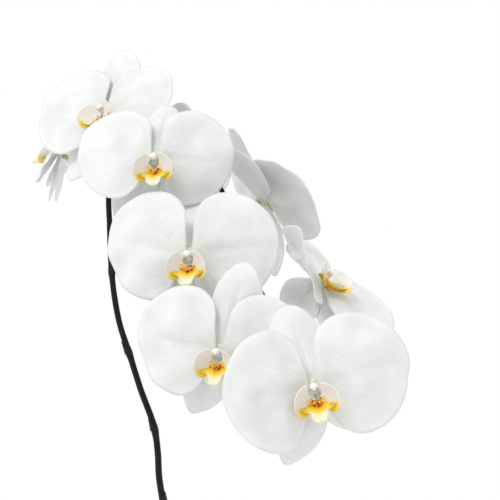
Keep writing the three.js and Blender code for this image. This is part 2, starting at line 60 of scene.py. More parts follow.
Face = tuple[int, ...]
Form = tuple[np.ndarray, list[Face]]
Outline = Sequence[tuple[float, float]]
Socket = bpy.types.NodeSocket
Triple = tuple[float, float, float]


# ---------------------------------------------------------------- small helpers
def linear(hex_colour: str) -> tuple[float, float, float, float]:
    """Turns an sRGB hex colour into Blender's linear colour.

    Args:
        hex_colour: Six hex digits, such as "f2f0eb".

    Returns:
        Linear red, green, blue and an alpha of 1.
    """
    shares = [int(hex_colour[i : i + 2], 16) / 255 for i in (0, 2, 4)]
    red, green, blue = (s / 12.92 if s <= 0.04045 else ((s + 0.055) / 1.055) ** 2.4 for s in shares)
    return (red, green, blue, 1.0)


def unit(vector: np.ndarray) -> np.ndarray:
    """The vectors in an array, each scaled to length 1."""
    return vector / np.maximum(np.linalg.norm(vector, axis=-1, keepdims=True), 1e-12)


def ramp(low: float, high: float, value: np.ndarray | float) -> np.ndarray | float:
    """A smooth step from 0 at low to 1 at high."""
    share = np.clip((np.asarray(value, float) - low) / (high - low), 0, 1)
    return share * share * (3 - 2 * share)


# ---------------------------------------------------------------- curves
@dataclass(frozen=True)
class SmoothCurve:
    """A Catmull-Rom curve through points, in millimetres.

    Attributes:
        points: The points that it passes through.
        closed: Whether it returns to its first point.
        per_span: How many samples each span is cut into.
    """

    points: tuple[tuple[float, ...], ...]
    closed: bool = False
    per_span: int = 24

    def samples(self) -> np.ndarray:
        """Close points along the whole curve, centripetal where it is open and uniform where it closes."""
        p = np.array(self.points, float)
        before, after = (p[-1:], p[:2]) if self.closed else (2 * p[:1] - p[1:2], 2 * p[-1:] - p[-2:-1])
        padded = np.vstack([before, p, after])
        t = np.linspace(0, 1, self.per_span, endpoint=False)[:, None]
        runs = []
        for a, b, c, d in zip(padded, padded[1:], padded[2:], padded[3:]):
            if self.closed:
                start, end = 0.5 * (c - a), 0.5 * (d - b)
            else:
                ab, bc, cd = (math.sqrt(max(np.linalg.norm(q), 1e-6)) for q in (b - a, c - b, d - c))
                start = ((b - a) / ab - (c - a) / (ab + bc) + (c - b) / bc) * bc
                end = ((c - b) / bc - (d - b) / (bc + cd) + (d - c) / cd) * bc
            square, cube = 3 * (c - b) - 2 * start - end, 2 * (b - c) + start + end
            runs.append(b + start * t + square * t**2 + cube * t**3)
        return np.vstack([*runs, p[:1] if self.closed else p[-1:]])

    def at(self, shares: np.ndarray) -> np.ndarray:
        """The points at shares of the curve's length.

        Args:
            shares: Where on the curve, from 0 to 1.

        Returns:
            One point for each share.
        """
        fine = self.samples()
        steps = np.linalg.norm(np.diff(fine, axis=0), axis=1)
        along = np.concatenate([[0], np.cumsum(steps)]) / steps.sum()
        return np.stack([np.interp(shares, along, axis) for axis in fine.T], axis=-1)


def bezier(ends: Sequence[np.ndarray], shares: np.ndarray) -> np.ndarray:
    """Points on a cubic Bezier curve.

    Args:
        ends: Its four control points.
        shares: Where on the curve, from 0 to 1.

    Returns:
        One point for each share.
    """
    a, b, c, d = ends
    t = shares[:, None]
    return a * (1 - t) ** 3 + 3 * b * t * (1 - t) ** 2 + 3 * c * t**2 * (1 - t) + d * t**3


# ---------------------------------------------------------------- meshes
@dataclass
class Draft:
    """Points, faces and named point values gathered for one piece, in millimetres."""

    points: list[np.ndarray] = field(default_factory=list)
    faces: list[Face] = field(default_factory=list)
    values: dict[str, list[np.ndarray]] = field(default_factory=dict)
    count: int = 0

    def add(self, form: Form, **values: np.ndarray | float) -> "Draft":
        """Adds a closed form.

        Args:
            form: Its points, one row each, and its faces, as numbers of its own points.
            **values: Point values, one for each point or one for all. A name that a form lacks is 0 on it.

        Returns:
            This draft.
        """
        points, faces = form
        self.faces += [tuple(i + self.count for i in face) for face in faces]
        for name in {**self.values, **values}:
            rows = self.values.setdefault(name, [np.zeros(self.count)] if self.count else [])
            rows.append(np.broadcast_to(values.get(name, 0.0), (len(points),)).astype(float))
        self.points.append(np.asarray(points, float))
        self.count += len(points)
        return self

    def placed(self, matrix: Matrix) -> "Draft":
        """A copy moved by a matrix, with its faces turned round if the matrix mirrors it.

        Args:
            matrix: Where it goes.

        Returns:
            The copy.
        """
        m = np.array(matrix, float)
        moved = [p @ m[:3, :3].T + m[:3, 3] for p in self.points]
        faces = [face[::-1] for face in self.faces] if np.linalg.det(m[:3, :3]) < 0 else self.faces
        return Draft(moved, list(faces), {k: list(v) for k, v in self.values.items()}, self.count)

    def join(self, other: "Draft") -> None:
        """Adds everything in another draft."""
        values = {name: np.concatenate(rows) for name, rows in other.values.items()}
        self.add((np.vstack(other.points), other.faces), **values)

    def piece(self, name: str, stuff: "Stuff", *stands_for: str) -> None:
        """Makes the Blender object, smooth shaded, and sets it on the root body.

        Args:
            name: The piece's name.
            stuff: What it is made of.
            *stands_for: The CAD nodes that it replaces.
        """
        mesh = bpy.data.meshes.new(name)
        mesh.from_pydata((np.vstack(self.points) * MM).tolist(), [], self.faces)
        for key, rows in self.values.items():
            layer = mesh.attributes.new(key, "FLOAT", "POINT")
            layer.data.foreach_set("value", np.concatenate(rows).astype(np.float32))
        mesh.materials.append(stuff.value.material())
        mesh.validate()
        mesh.shade_smooth()
        piece = bpy.data.objects.new(name, mesh)
        bpy.context.scene.collection.objects.link(piece)
        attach(piece, "root")
        if stands_for:
            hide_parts(*stands_for)
        LOG.info("%s: %d points, %s", name, len(mesh.vertices), stuff.value.slot)


def net(rows: int, columns: int, closed: bool = False) -> list[Face]:
    """Four-sided faces over rows of points.

    Args:
        rows: How many rows there are.
        columns: How many points each row has.
        closed: Whether the last column joins the first.

    Returns:
        The faces.
    """
    faces = []
    for a in range(0, (rows - 1) * columns, columns):
        b = a + columns
        for j in range(columns if closed else columns - 1):
            k = (j + 1) % columns
            faces.append((a + j, a + k, b + k, b + j))
    return faces


def barrel(rings: Sequence[np.ndarray], first: Sequence[float], last: Sequence[float]) -> Form:
    """A closed form of rings, each end of which draws in to one point.

    Args:
        rings: The rings' points.
        first: The point that closes the first ring.
        last: The point that closes the last.

    Returns:
        Its points and faces.
    """
    sides = len(rings[0])
    points = np.vstack([*rings, [first], [last]])
    faces = net(len(rings), sides, closed=True)
    end = (len(rings) - 1) * sides
    for j in range(sides):
        k = (j + 1) % sides
        faces += [(len(points) - 2, k, j), (len(points) - 1, end + j, end + k)]
    return points, faces


def plate(outer: list[np.ndarray], inner: list[np.ndarray]) -> Form:
    """A thin curved plate.

    Args:
        outer: The rows of points on its outer side.
        inner: The rows on its inner side.

    Returns:
        Its points and faces.
    """
    levels, across = len(outer), len(outer[0])
    total, top = levels * across, (levels - 1) * across
    faces = net(levels, across)
    faces += [(total + a, total + d, total + c, total + b) for a, b, c, d in faces]
    for a in range(across - 1):
        b = top + a
        faces += [(a, total + a, total + a + 1, a + 1), (b, b + 1, total + b + 1, total + b)]
    for a in range(0, top, across):
        b, c, d = a + across, a + across - 1, a + 2 * across - 1
        faces += [(a, b, total + b, total + a), (c, total + c, total + d, d)]
    return np.vstack(outer + inner), faces


def tube(path: np.ndarray, radii: np.ndarray, sides: int, flutes: int = 0, flute_depth: float = 0.0) -> Form:
    """A round tube with closed ends along a path.

    Args:
        path: Points along its middle.
        radii: Its radius at each point.
        sides: How many sides it has.
        flutes: How many shallow grooves run along it.
        flute_depth: How deep they are, as a share of the radius.

    Returns:
        Its points and faces.
    """
    tangents = unit(np.gradient(path, axis=0))
    side = unit(np.cross(tangents[0], [0.3, 0.9, 0.2]))
    turn = np.linspace(0, 2 * math.pi, sides, endpoint=False)
    fluted = 1 - flute_depth * (0.5 - 0.5 * np.cos(flutes * turn))
    rings = []
    for centre, ahead, radius in zip(path, tangents, radii):
        side = unit(side - ahead * (side @ ahead))
        other = np.cross(ahead, side)
        out = np.cos(turn)[:, None] * side + np.sin(turn)[:, None] * other
        rings.append(centre + (radius * fluted)[:, None] * out)
    return barrel(rings, path[0], path[-1])


def turned(profile: Sequence[tuple[float, float]], sides: int) -> Form:
    """A solid turned about Z.

    Args:
        profile: Radius and height pairs from the axis, up the outside and back to the axis.
        sides: How many sides it has.

    Returns:
        Its points and faces.
    """
    turn = np.linspace(0, 2 * math.pi, sides, endpoint=False)
    (_, bottom), *middle, (_, top) = profile
    x, y = np.cos(turn), np.sin(turn)
    rings = [np.stack([r * x, r * y, np.full(sides, float(z))], axis=1) for r, z in middle]
    return barrel(rings, (0, 0, bottom), (0, 0, top))


# ---------------------------------------------------------------- blades: petals, sepals, lobes and leaves
@dataclass(frozen=True)
class Pose:
    """How a blade is set on a flower: degrees, and millimetres of crown."""

    azimuth: float = 0
    tilt: float = 0
    twist: float = 0
    crown: float = 0
    bend: float = 0
    ripple: float = 0
    scale: float = 1

    def matrix(self, reach: float, depth: float) -> Matrix:
        """Where the blade's own axes stand in the flower's.

        Args:
            reach: How far the blade starts from the flower's axis.
            depth: How far in front of the flower's middle.

        Returns:
            The matrix from the blade to the flower.
        """
        turn = Matrix.Rotation(math.radians(self.azimuth), 4, "Z")
        lean = Matrix.Rotation(-math.radians(self.tilt), 4, "Y")
        roll = Matrix.Rotation(math.radians(self.twist), 4, "X")
        size = Matrix.Diagonal((self.scale, self.scale, 1, 1))
        return turn @ Matrix.Translation((reach, 0, depth)) @ lean @ roll @ size


@dataclass(frozen=True)
class Blade:
    """A thin organ that grows from a claw along +X.

    Attributes:
        outline: Its edge, or one half of it where half is true.
        thickness: How thick it is in the middle.
        edge_thickness: How thick it is at the rim.
        half: Whether the outline is one half of a blade with two like sides.
        count: How many points go round the edge.
        rings: How many rings lie between the middle and the edge.
        keel: How far its sides rise from the midrib.
        groove: How deep the crease along its midrib is.
        waver: How far its surface strays from the even form.
        frill: How far its edge waves.
    """

    outline: Outline
    thickness: float
    edge_thickness: float
    half: bool = False
    count: int = 72
    rings: int = 12
    keel: float = 0
    groove: float = 0
    waver: float = 0
    frill: float = 0

    @property
    def length(self) -> float:
        """How far it reaches from its claw."""
        return max(x for x, _ in self.outline)

    @property
    def half_width(self) -> float:
        """How far its edge stands from its midrib."""
        return max(abs(y) for _, y in self.outline)

    def edge(self) -> np.ndarray:
        """Points round the smooth outline, evenly spaced."""
        outline = list(self.outline)
        if self.half:
            outline += [(x, -y) for x, y in reversed(outline[:-1])]
        curve = SmoothCurve(tuple(outline), closed=True)
        return curve.at(np.linspace(0, 1, self.count, endpoint=False))

    def formed(self, pose: Pose, flat: np.ndarray, seed: float) -> np.ndarray:
        """Crowns, ripples and bends flat points.

        Args:
            pose: How the blade is set.
            flat: Flat points, x along and y across.
            seed: A number that makes each blade's surface its own.

        Returns:
            The points in the blade's own axes.
        """
        x, y = flat.T
        across, middle, along = y / self.half_width, self.length / 2, x / self.length
        rim = np.hypot((x - middle) / middle, across)
        around = np.arctan2(y, x - middle)
        rise = pose.ripple * np.minimum(rim, 1.2) ** 3 * np.sin(3 * around) - pose.crown * across**2
        rise += self.keel * (np.sqrt(np.minimum(np.abs(across), 1) ** 2 + 0.01) - 0.1)
        crease = np.exp(-((y / (0.09 * self.half_width + 0.4)) ** 2))
        rise -= self.groove * crease * ramp(0.02, 0.2, along) * ramp(1.0, 0.6, along)
        if self.waver or self.frill:
            grain = np.array([noise.noise((a * 0.06, b * 0.06, seed)) for a, b in zip(x, y)])
            rise += self.waver * grain * ramp(0.0, 0.35, along)
            rise += self.frill * ramp(0.62, 1.0, rim) * np.sin(7 * around + 5 * seed) * (0.6 + grain)
        turn = np.radians(pose.bend) * along
        turn = np.where(np.abs(turn) < 1e-6, 1e-6, turn)
        radius = x / turn
        back = radius * (1 - np.cos(turn))
        return np.stack([(radius + rise) * np.sin(turn), y, rise * np.cos(turn) - back], axis=1)

    def draft(self, pose: Pose, seed: float = 0.0, **marks: float) -> Draft:
        """The whole blade, both faces and its rim.

        Args:
            pose: How it is set.
            seed: Makes its surface its own.
            **marks: Named values that are the same all over it.

        Returns:
            The draft, with reach, fan, across and rim as point values.
        """
        edge = self.edge()
        centre = np.array([0.5 * self.length, 0.0])
        shares = np.linspace(0, 1, self.rings + 1)[1:] ** 0.9
        flat = np.vstack([centre[None, :], *[centre + s * (edge - centre) for s in shares]])
        rim = np.concatenate([[0], np.repeat(shares, self.count)])
        here = self.formed(pose, flat, seed)
        along, over = (self.formed(pose, flat + nudge, seed) - here for nudge in ([0.05, 0], [0, 0.05]))
        normal = unit(np.cross(along, over))
        half = 0.5 * (self.thickness + (self.edge_thickness - self.thickness) * rim**2)[:, None]
        points = np.vstack([here + normal * half, here - normal * half])
        total, n = len(flat), self.count
        outer = total - n
        faces: list[Face] = []
        for a, k, b, d in ([1 + i for i in face] for face in net(self.rings, n, closed=True)):
            faces += [(a, d, b, k), (total + a, total + k, total + b, total + d)]
        for i in range(n):
            k = (i + 1) % n
            faces += [(0, 1 + i, 1 + k), (total, total + 1 + k, total + 1 + i)]
            faces.append((outer + i, total + outer + i, total + outer + k, outer + k))
        x, y = flat.T
        values = {
            "reach": np.hypot(x, y) / self.length,
            "fan": np.arctan2(y, x + 0.12 * self.length),
            "across": y / self.half_width,
            "rim": rim,
        }
        return Draft().add((points, faces), **{name: np.tile(v, 2) for name, v in values.items()}, **marks)

    def fixed(
        self, pose: Pose, seed: float, reach: float, depth: float, mirrored: bool, **marks: float
    ) -> Draft:
        """The blade in its flower's axes.

        Args:
            pose: How it is set.
            seed: Makes its surface its own.
            reach: How far it starts from the flower's axis.
            depth: How far in front of the flower's middle.
            mirrored: Whether it is on the flower's left.
            **marks: Named values that are the same all over it.

        Returns:
            The placed draft.
        """
        place = pose.matrix(reach, depth)
        return self.draft(pose, seed, **marks).placed(MIRROR @ place if mirrored else place)


# ---------------------------------------------------------------- finishes
@dataclass(frozen=True)
class Paint:
    """A node tree, with short names for what the finishes do in it."""

    tree: bpy.types.NodeTree

    def fill(self, node: bpy.types.Node, inputs: dict) -> None:
        """Sets or links a node's inputs.

        Args:
            node: The node.
            inputs: Socket name or number to a value, or to the socket that feeds it.
        """
        for name, value in inputs.items():
            if isinstance(value, Socket):
                self.tree.links.new(value, node.inputs[name])
            else:
                node.inputs[name].default_value = value

    def node(self, kind: str, inputs: dict | None = None, out: str | int = 0, **settings) -> Socket:
        """Adds a shader node.

        Args:
            kind: The node's type name, without the leading "ShaderNode".
            inputs: Socket name or number to a value, or to the socket that feeds it.
            out: Which output is wanted.
            **settings: The node's own properties.

        Returns:
            That output.
        """
        node = self.tree.nodes.new("ShaderNode" + kind)
        for name, value in settings.items():
            setattr(node, name, value)
        self.fill(node, inputs or {})
        return node.outputs[out]

    def shader(self, inputs: dict) -> None:
        """Sets or links the principled shader's inputs."""
        self.fill(self.tree.nodes["Principled BSDF"], inputs)

    def mark(self, name: str) -> Socket:
        """The named point value of the mesh."""
        return self.node("Attribute", out="Fac", attribute_name=name)

    def where(self) -> Socket:
        """The object's own coordinates."""
        return self.node("TexCoord", out="Object")

    def stretched(self, scale: Triple, turn: Triple = (0, 0, 0)) -> Socket:
        """The object's own coordinates, scaled along its axes and turned."""
        return self.node("Mapping", {"Vector": self.where(), "Scale": scale, "Rotation": turn})

    def maths(self, kind: str, *values: float | Socket) -> Socket:
        """The result of one sum, such as "MULTIPLY", on numbers or sockets."""
        return self.node("Math", dict(enumerate(values)), operation=kind)

    def times(self, a: float | Socket, b: float | Socket) -> Socket:
        """The product of a and b."""
        return self.maths("MULTIPLY", a, b)

    def plus(self, a: float | Socket, b: float | Socket) -> Socket:
        """The sum of a and b."""
        return self.maths("ADD", a, b)

    def between(
        self, share: float | Socket, low: float, high: float, a: float = 0.0, b: float = 1.0
    ) -> Socket:
        """A smooth change from a to b as share goes from low to high.

        Args:
            share: What it follows.
            low: Where the change starts.
            high: Where it ends.
            a: The result before it.
            b: The result after it.

        Returns:
            The socket with the answer.
        """
        inputs = {"Value": share, "From Min": low, "From Max": high, "To Min": a, "To Max": b}
        return self.node("MapRange", inputs, "Result", interpolation_type="SMOOTHSTEP")

    def mixed(self, share: float | Socket, a: str | Socket, b: str | Socket) -> Socket:
        """One colour turned into another.

        Args:
            share: How much of b.
            a: The first colour, as hex or a socket.
            b: The second.

        Returns:
            The socket with the colour.
        """
        first, second = (linear(c) if isinstance(c, str) else c for c in (a, b))
        return self.node("Mix", {0: share, 6: first, 7: second}, 2, data_type="RGBA", blend_type="MIX")

    def speckle(self, size_mm: float, vector: Socket | None = None, detail: float = 3.0) -> Socket:
        """Noise whose lumps are about size_mm across.

        Args:
            size_mm: The lumps' size on the real thing.
            vector: Where to read it, or the object's own coordinates.
            detail: How many finer layers it has.

        Returns:
            The noise, from 0 to 1.
        """
        inputs = {"Vector": vector or self.where(), "Scale": 1 / (size_mm * MM), "Detail": detail}
        return self.node("TexNoise", {**inputs, "Roughness": 0.55}, "Fac")

    def strands(self, across: Socket, along: Socket, seed: float | Socket = 0.0) -> Socket:
        """Noise drawn out into veins, from a place across them and along them."""
        where = self.node("CombineXYZ", {0: across, 1: along, 2: seed})
        return self.node("TexNoise", {"Vector": where, "Scale": 1.0, "Detail": 2.0, "Roughness": 0.5}, "Fac")

    def relief(self, height: Socket, depth_mm: float) -> None:
        """Gives the shader a bump of a real depth."""
        bump = self.node("Bump", {"Height": height, "Distance": depth_mm * MM, "Strength": 1.0}, "Normal")
        self.shader({"Normal": bump})


@dataclass(frozen=True)
class Finish:
    """A material with one principled shader.

    Attributes:
        name: The material's name.
        slot: The record's material slot.
        roughness: Its usual roughness.
        ior: Its refractive index.
    """

    name: str
    slot: str
    roughness: float
    ior: float = 1.45

    @functools.cache
    def material(self) -> bpy.types.Material:
        """The material, built once."""
        material = bpy.data.materials.new(self.name)
        material.use_nodes = True
        paint = Paint(material.node_tree)
        paint.shader({"Roughness": self.roughness, "IOR": self.ior})
        self.dress(paint)
        return material

    def dress(self, p: Paint) -> None:
        """Lays the finish's own colours, relief and gloss."""
        raise NotImplementedError


@dataclass(frozen=True)
class PetalTissue(Finish):
    """Living petal tissue: air spaces between the cells scatter light, so it is white, soft and faintly
    translucent, with veins that fan out from the claw."""

    body: str = "dcdddd"
    vein: str = "cdd1cf"
    throat: str = "d3d8b2"
    vein_count: float = 34.0  # veins over the blade's whole fan

    def dress(self, p: Paint) -> None:
        """Lays its colours, relief and gloss."""
        reach, fan, rim = (p.mark(n) for n in ("reach", "fan", "rim"))
        seed = p.times(p.node("ObjectInfo", out="Random"), 40.0)
        veins = p.strands(p.times(fan, self.vein_count / math.pi), p.times(reach, 2.2), seed)
        ridge = p.maths("ABSOLUTE", p.maths("SUBTRACT", veins, 0.5))
        line = p.between(ridge, 0.0, 0.075, 1.0, 0.0)
        faded = p.times(line, p.between(reach, 0.1, 0.95, 0.34, 0.03))
        cloud = p.speckle(17.0, detail=1.0)
        pale = p.mixed(p.between(cloud, 0.35, 0.7), self.body, "e3e4e4")
        veined = p.mixed(faded, pale, self.vein)
        throat = p.between(reach, 0.04, 0.24, 0.4, 0.0)
        tinted = p.mixed(throat, veined, self.throat)
        # whiter towards the rim: painted backlight, a glow put in the colour where light would shine through
        # the thin edge
        edge = p.between(rim, 0.8, 1.0, 0.0, 0.35)
        p.shader({"Base Color": p.mixed(edge, tinted, "eeefef")})
        cells = p.speckle(0.5, detail=1.0)  # cells are 0.05 mm, drawn coarser so that they show
        swell = p.times(p.speckle(9.0, detail=1.0), 1.4)
        grain = p.plus(p.times(faded, -0.8), p.times(cells, 0.25))
        p.relief(p.plus(swell, grain), 0.28)
        p.shader({"Roughness": p.between(cells, 0.3, 0.8, 0.5, 0.66), "Subsurface Weight": 0.35})
        p.shader({"Subsurface Radius": (1.0, 0.95, 0.85), "Subsurface Scale": 2.0 * MM})
        p.shader({"Sheen Weight": 0.12, "Sheen Roughness": 0.4})


@dataclass(frozen=True)
class LipTissue(Finish):
    """Waxy tissue: clear white side lobes, a yellow floor with olive arms and a spotted callus."""

    clear: str = "e6e2e0"
    rim_white: str = "f2f1ec"
    yellow: str = "efc81e"
    olive: str = "bfae2a"
    orange: str = "e59a1c"
    tongue: str = "ece8c8"
    freckle: str = "6b2413"

    def floor(self, p: Paint, reach: Socket, width: Socket) -> Socket:
        """The middle lobe's colour: orange by the callus, olive along its arms and white on its tongue.

        Args:
            p: The tree that it goes in.
            reach: The share of the way from the callus.
            width: The share of the way from the midrib to the arms' tips.

        Returns:
            The socket with the colour.
        """
        colour = p.mixed(p.between(reach, 0.16, 0.4), self.orange, self.yellow)
        colour = p.mixed(p.between(width, 0.42, 0.85), colour, self.olive)
        tip = p.times(p.between(reach, 0.38, 0.7), p.between(width, 0.34, 0.56, 1.0, 0.0))
        return p.mixed(tip, colour, self.tongue)

    def wing(self, p: Paint, reach: Socket, across: Socket, rim: Socket) -> Socket:
        """A side lobe's colour: clear white, yellow at its claw and along its lower edge, with a white rim.

        Args:
            p: The tree that it goes in.
            reach: The share of the way from the claw.
            across: From -1 at the lower edge to 1 at the upper.
            rim: The share of the way from its middle to its edge.

        Returns:
            The socket with the colour.
        """
        low = p.times(p.between(across, -0.72, -0.12, 0.95, 0.0), p.between(reach, 0.75, 1.05, 1.0, 0.2))
        claw = p.between(reach, 0.14, 0.42, 0.95, 0.0)
        colour = p.mixed(p.maths("MAXIMUM", low, claw), self.clear, self.yellow)
        edge = p.times(p.between(rim, 0.84, 1.0, 0.0, 0.85), p.between(across, -0.5, 0.0))
        return p.mixed(edge, colour, self.rim_white)

    def dress(self, p: Paint) -> None:
        """Lays its colours, relief and gloss."""
        reach, across, lobe, rim = (p.mark(n) for n in ("reach", "across", "lobe", "rim"))
        width = p.maths("ABSOLUTE", across)
        side_lobe = p.between(lobe, 0.4, 0.6)
        callus = p.between(lobe, 1.5, 2.5)
        base = p.mixed(side_lobe, self.floor(p, reach, width), self.wing(p, reach, across, rim))
        base = p.mixed(callus, base, self.orange)
        cells = {"Vector": p.where(), "Scale": 1 / (1.7 * MM), "Randomness": 0.9}
        spots = p.node("TexVoronoi", cells, "Distance")
        dots = p.between(spots, 0.32, 0.46, 1.0, 0.0)
        near = p.times(p.between(reach, 0.1, 0.4, 0.9, 0.0), p.between(width, 0.2, 0.6, 1.0, 0.0))
        dotted = p.times(dots, p.maths("MAXIMUM", near, callus))
        p.shader({"Base Color": p.mixed(dotted, base, self.freckle)})
        p.relief(p.speckle(0.8, detail=2.0), 0.12)
        p.shader({"Roughness": p.between(dots, 0.0, 1.0, self.roughness, self.roughness - 0.1)})
        p.shader({"Subsurface Weight": 0.25, "Subsurface Radius": (1.0, 0.8, 0.5)})
        p.shader({"Subsurface Scale": 1.5 * MM, "Coat Weight": 0.12, "Coat Roughness": 0.3})


@dataclass(frozen=True)
class ColumnTissue(Finish):
    """The smooth waxy column: cream white, with a rose flush under its anther cap."""

    cream: str = "f7f1ec"
    rose: str = "d9a3b4"

    def dress(self, p: Paint) -> None:
        """Lays its colours, relief and gloss."""
        along = p.mark("along")
        flush = p.times(p.between(along, 0.5, 0.78), p.between(along, 0.8, 0.95, 1.0, 0.0))
        streak = p.between(p.speckle(1.2), 0.35, 0.65, 0.25, 0.6)
        p.shader({"Base Color": p.mixed(p.times(flush, streak), self.cream, self.rose)})
        p.relief(p.speckle(0.6, detail=1.0), 0.06)
        p.shader({"Subsurface Weight": 0.3, "Subsurface Scale": 1.5 * MM})


@dataclass(frozen=True)
class StemSkin(Finish):
    """The spike's smooth rind: near black with a red-brown bloom, greener along the pedicels."""

    rind: str = "0a0807"
    bloom: str = "17100d"
    ring: str = "2a1c15"
    pedicel_dark: str = "3c3d22"
    pedicel_pale: str = "c3cc9c"

    def dress(self, p: Paint) -> None:
        """Lays its colours, relief and gloss."""
        along, stalk, joint = (p.mark(n) for n in ("along", "stalk", "joint"))
        blotch = p.between(p.speckle(5.0), 0.45, 0.72)
        dark = p.mixed(p.times(blotch, 0.6), self.rind, self.bloom)
        dark = p.mixed(p.times(joint, 0.85), dark, self.ring)
        green = p.mixed(p.between(along, 0.1, 0.9), self.pedicel_dark, self.pedicel_pale)
        p.shader({"Base Color": p.mixed(stalk, dark, green)})
        p.relief(p.speckle(0.7, p.stretched((1.0, 1.0, 0.12))), 0.12)
        p.shader({"Roughness": p.between(blotch, 0.0, 1.0, self.roughness - 0.08, self.roughness + 0.12)})
        p.shader({"Specular IOR Level": 0.3})


@dataclass(frozen=True)
class LeafSkin(Finish):
    """A thick leaf under a waxy cuticle: deep green, paler along the midrib, with fine parallel veins."""

    deep: str = "24471f"
    fresh: str = "3f6b2c"
    midrib: str = "5c8440"
    under: str = "53702f"

    def dress(self, p: Paint) -> None:
        """Lays its colours, relief and gloss."""
        reach, across, rim = (p.mark(n) for n in ("reach", "across", "rim"))
        width = p.maths("ABSOLUTE", across)
        mottle = p.between(p.speckle(16.0), 0.35, 0.7)
        green = p.mixed(mottle, self.deep, self.fresh)
        rib = p.times(p.between(width, 0.0, 0.09, 0.75, 0.0), p.between(reach, 0.8, 1.0, 1.0, 0.2))
        green = p.mixed(rib, green, self.midrib)
        veins = p.strands(p.times(across, 26.0), p.times(reach, 3.0))
        green = p.mixed(p.between(veins, 0.45, 0.75, 0.0, 0.28), green, self.midrib)
        base = p.between(reach, 0.02, 0.16, 0.7, 0.0)
        green = p.mixed(base, green, "7d8b4a")
        purple = p.between(rim, 0.95, 1.0, 0.0, 0.45)
        p.shader({"Base Color": p.mixed(purple, green, "4a3320")})
        pores = p.speckle(0.9, detail=1.0)
        height = p.plus(p.times(veins, 0.8), p.times(pores, 0.25))
        p.relief(height, 0.3)
        p.shader({"Roughness": p.between(mottle, 0.0, 1.0, self.roughness - 0.05, self.roughness + 0.12)})
        p.shader({"Coat Weight": 0.3, "Coat Roughness": 0.25, "Subsurface Weight": 0.08})
        p.shader({"Subsurface Radius": (0.5, 1.0, 0.2), "Subsurface Scale": 1.5 * MM})


@dataclass(frozen=True)
class RootVelamen(Finish):
    """Spongy dead cells round a living root: dull silver over green, and bare green at the growing tip."""

    silver: str = "a9b09a"
    green: str = "6f8557"
    tip: str = "5d7d35"

    def dress(self, p: Paint) -> None:
        """Lays its colours, relief and gloss."""
        along = p.mark("along")
        patches = p.between(p.speckle(4.0), 0.4, 0.62)
        skin = p.mixed(patches, self.silver, self.green)
        p.shader({"Base Color": p.mixed(p.between(along, 0.93, 0.97), skin, self.tip)})
        p.relief(p.speckle(0.8), 0.25)


@dataclass(frozen=True)
class FirBark(Finish):
    """Broken fir bark: layered red-brown cork with paler torn faces."""

    dark: str = "2f1c12"
    red: str = "6b4029"
    torn: str = "95694a"

    def dress(self, p: Paint) -> None:
        """Lays its colours, relief and gloss."""
        tone = p.mark("tone")
        grain = p.speckle(2.2, p.stretched((0.35, 0.35, 2.2), (0.5, 0.3, 0)), 5.0)
        brown = p.mixed(p.between(grain, 0.3, 0.62), self.dark, self.red)
        pale = p.times(p.between(tone, 0.45, 1.0), p.between(grain, 0.35, 0.7, 0.3, 0.9))
        p.shader({"Base Color": p.mixed(pale, brown, self.torn)})
        p.relief(grain, 0.9)
        p.shader({"Roughness": p.between(grain, 0.3, 0.7, 0.95, 0.75)})


@dataclass(frozen=True)
class WhiteGlaze(Finish):
    """Stoneware under a white glaze: glossy, a little uneven where the glaze ran, with a bare clay foot."""

    glaze: str = "edebe4"
    thin: str = "dedacd"
    clay: str = "c9b79c"
    foot_mm: float = 1.6

    def dress(self, p: Paint) -> None:
        """Lays its colours, relief and gloss."""
        height = p.node("SeparateXYZ", {0: p.where()}, 2)
        runs = p.stretched((1.0, 1.0, 0.25))
        cloud = p.speckle(22.0, runs)
        white = p.mixed(p.between(cloud, 0.35, 0.7), self.glaze, self.thin)
        pin = p.node("TexVoronoi", {"Vector": p.where(), "Scale": 1 / (7 * MM)}, "Distance")
        white = p.mixed(p.between(pin, 0.045, 0.075, 0.5, 0.0), white, "a08f78")
        bare = p.between(height, (self.foot_mm - 0.2) * MM, (self.foot_mm + 0.2) * MM, 1.0, 0.0)
        p.shader({"Base Color": p.mixed(bare, white, self.clay)})
        ripple = p.speckle(9.0, runs, 1.0)
        grit = p.times(p.speckle(0.8), bare)
        p.relief(p.plus(ripple, grit), 0.25)
        p.shader({"Roughness": p.plus(p.times(bare, 0.55), self.roughness)})


@dataclass(frozen=True)
class NurseryPlastic(Finish):
    """Moulded polypropylene: satin dark grey with faint turning marks and dust."""

    grey: str = "35382f"
    dust: str = "5d594d"

    def dress(self, p: Paint) -> None:
        """Lays its colours, relief and gloss."""
        dusty = p.between(p.speckle(6.0), 0.5, 0.75)
        p.shader({"Base Color": p.mixed(dusty, self.grey, self.dust)})
        p.relief(p.speckle(0.7, p.stretched((0.05, 0.05, 1.0))), 0.08)
        p.shader({"Roughness": p.between(dusty, 0.0, 1.0, self.roughness, 0.7)})


class Stuff(Enum):
    """The plant's and the pot's materials."""

    PETAL = PetalTissue("white petal tissue", "petal_skin", 0.58, 1.42)
    LIP = LipTissue("waxy lip tissue", "lip_skin", 0.45)
    COLUMN = ColumnTissue("waxy column tissue", "column_skin", 0.42)
    STEM = StemSkin("dark stem rind", "stem_skin", 0.45)
    LEAF = LeafSkin("waxy leaf cuticle", "leaf_skin", 0.38)
    ROOT = RootVelamen("root velamen", "root_skin", 0.8, 1.4)
    BARK = FirBark("broken fir bark", "bark_chips", 0.85, 1.4)
    GLAZE = WhiteGlaze("white stoneware glaze", "glazed_pot", 0.16, 1.52)
    PLASTIC = NurseryPlastic("moulded polypropylene", "liner_plastic", 0.45, 1.49)


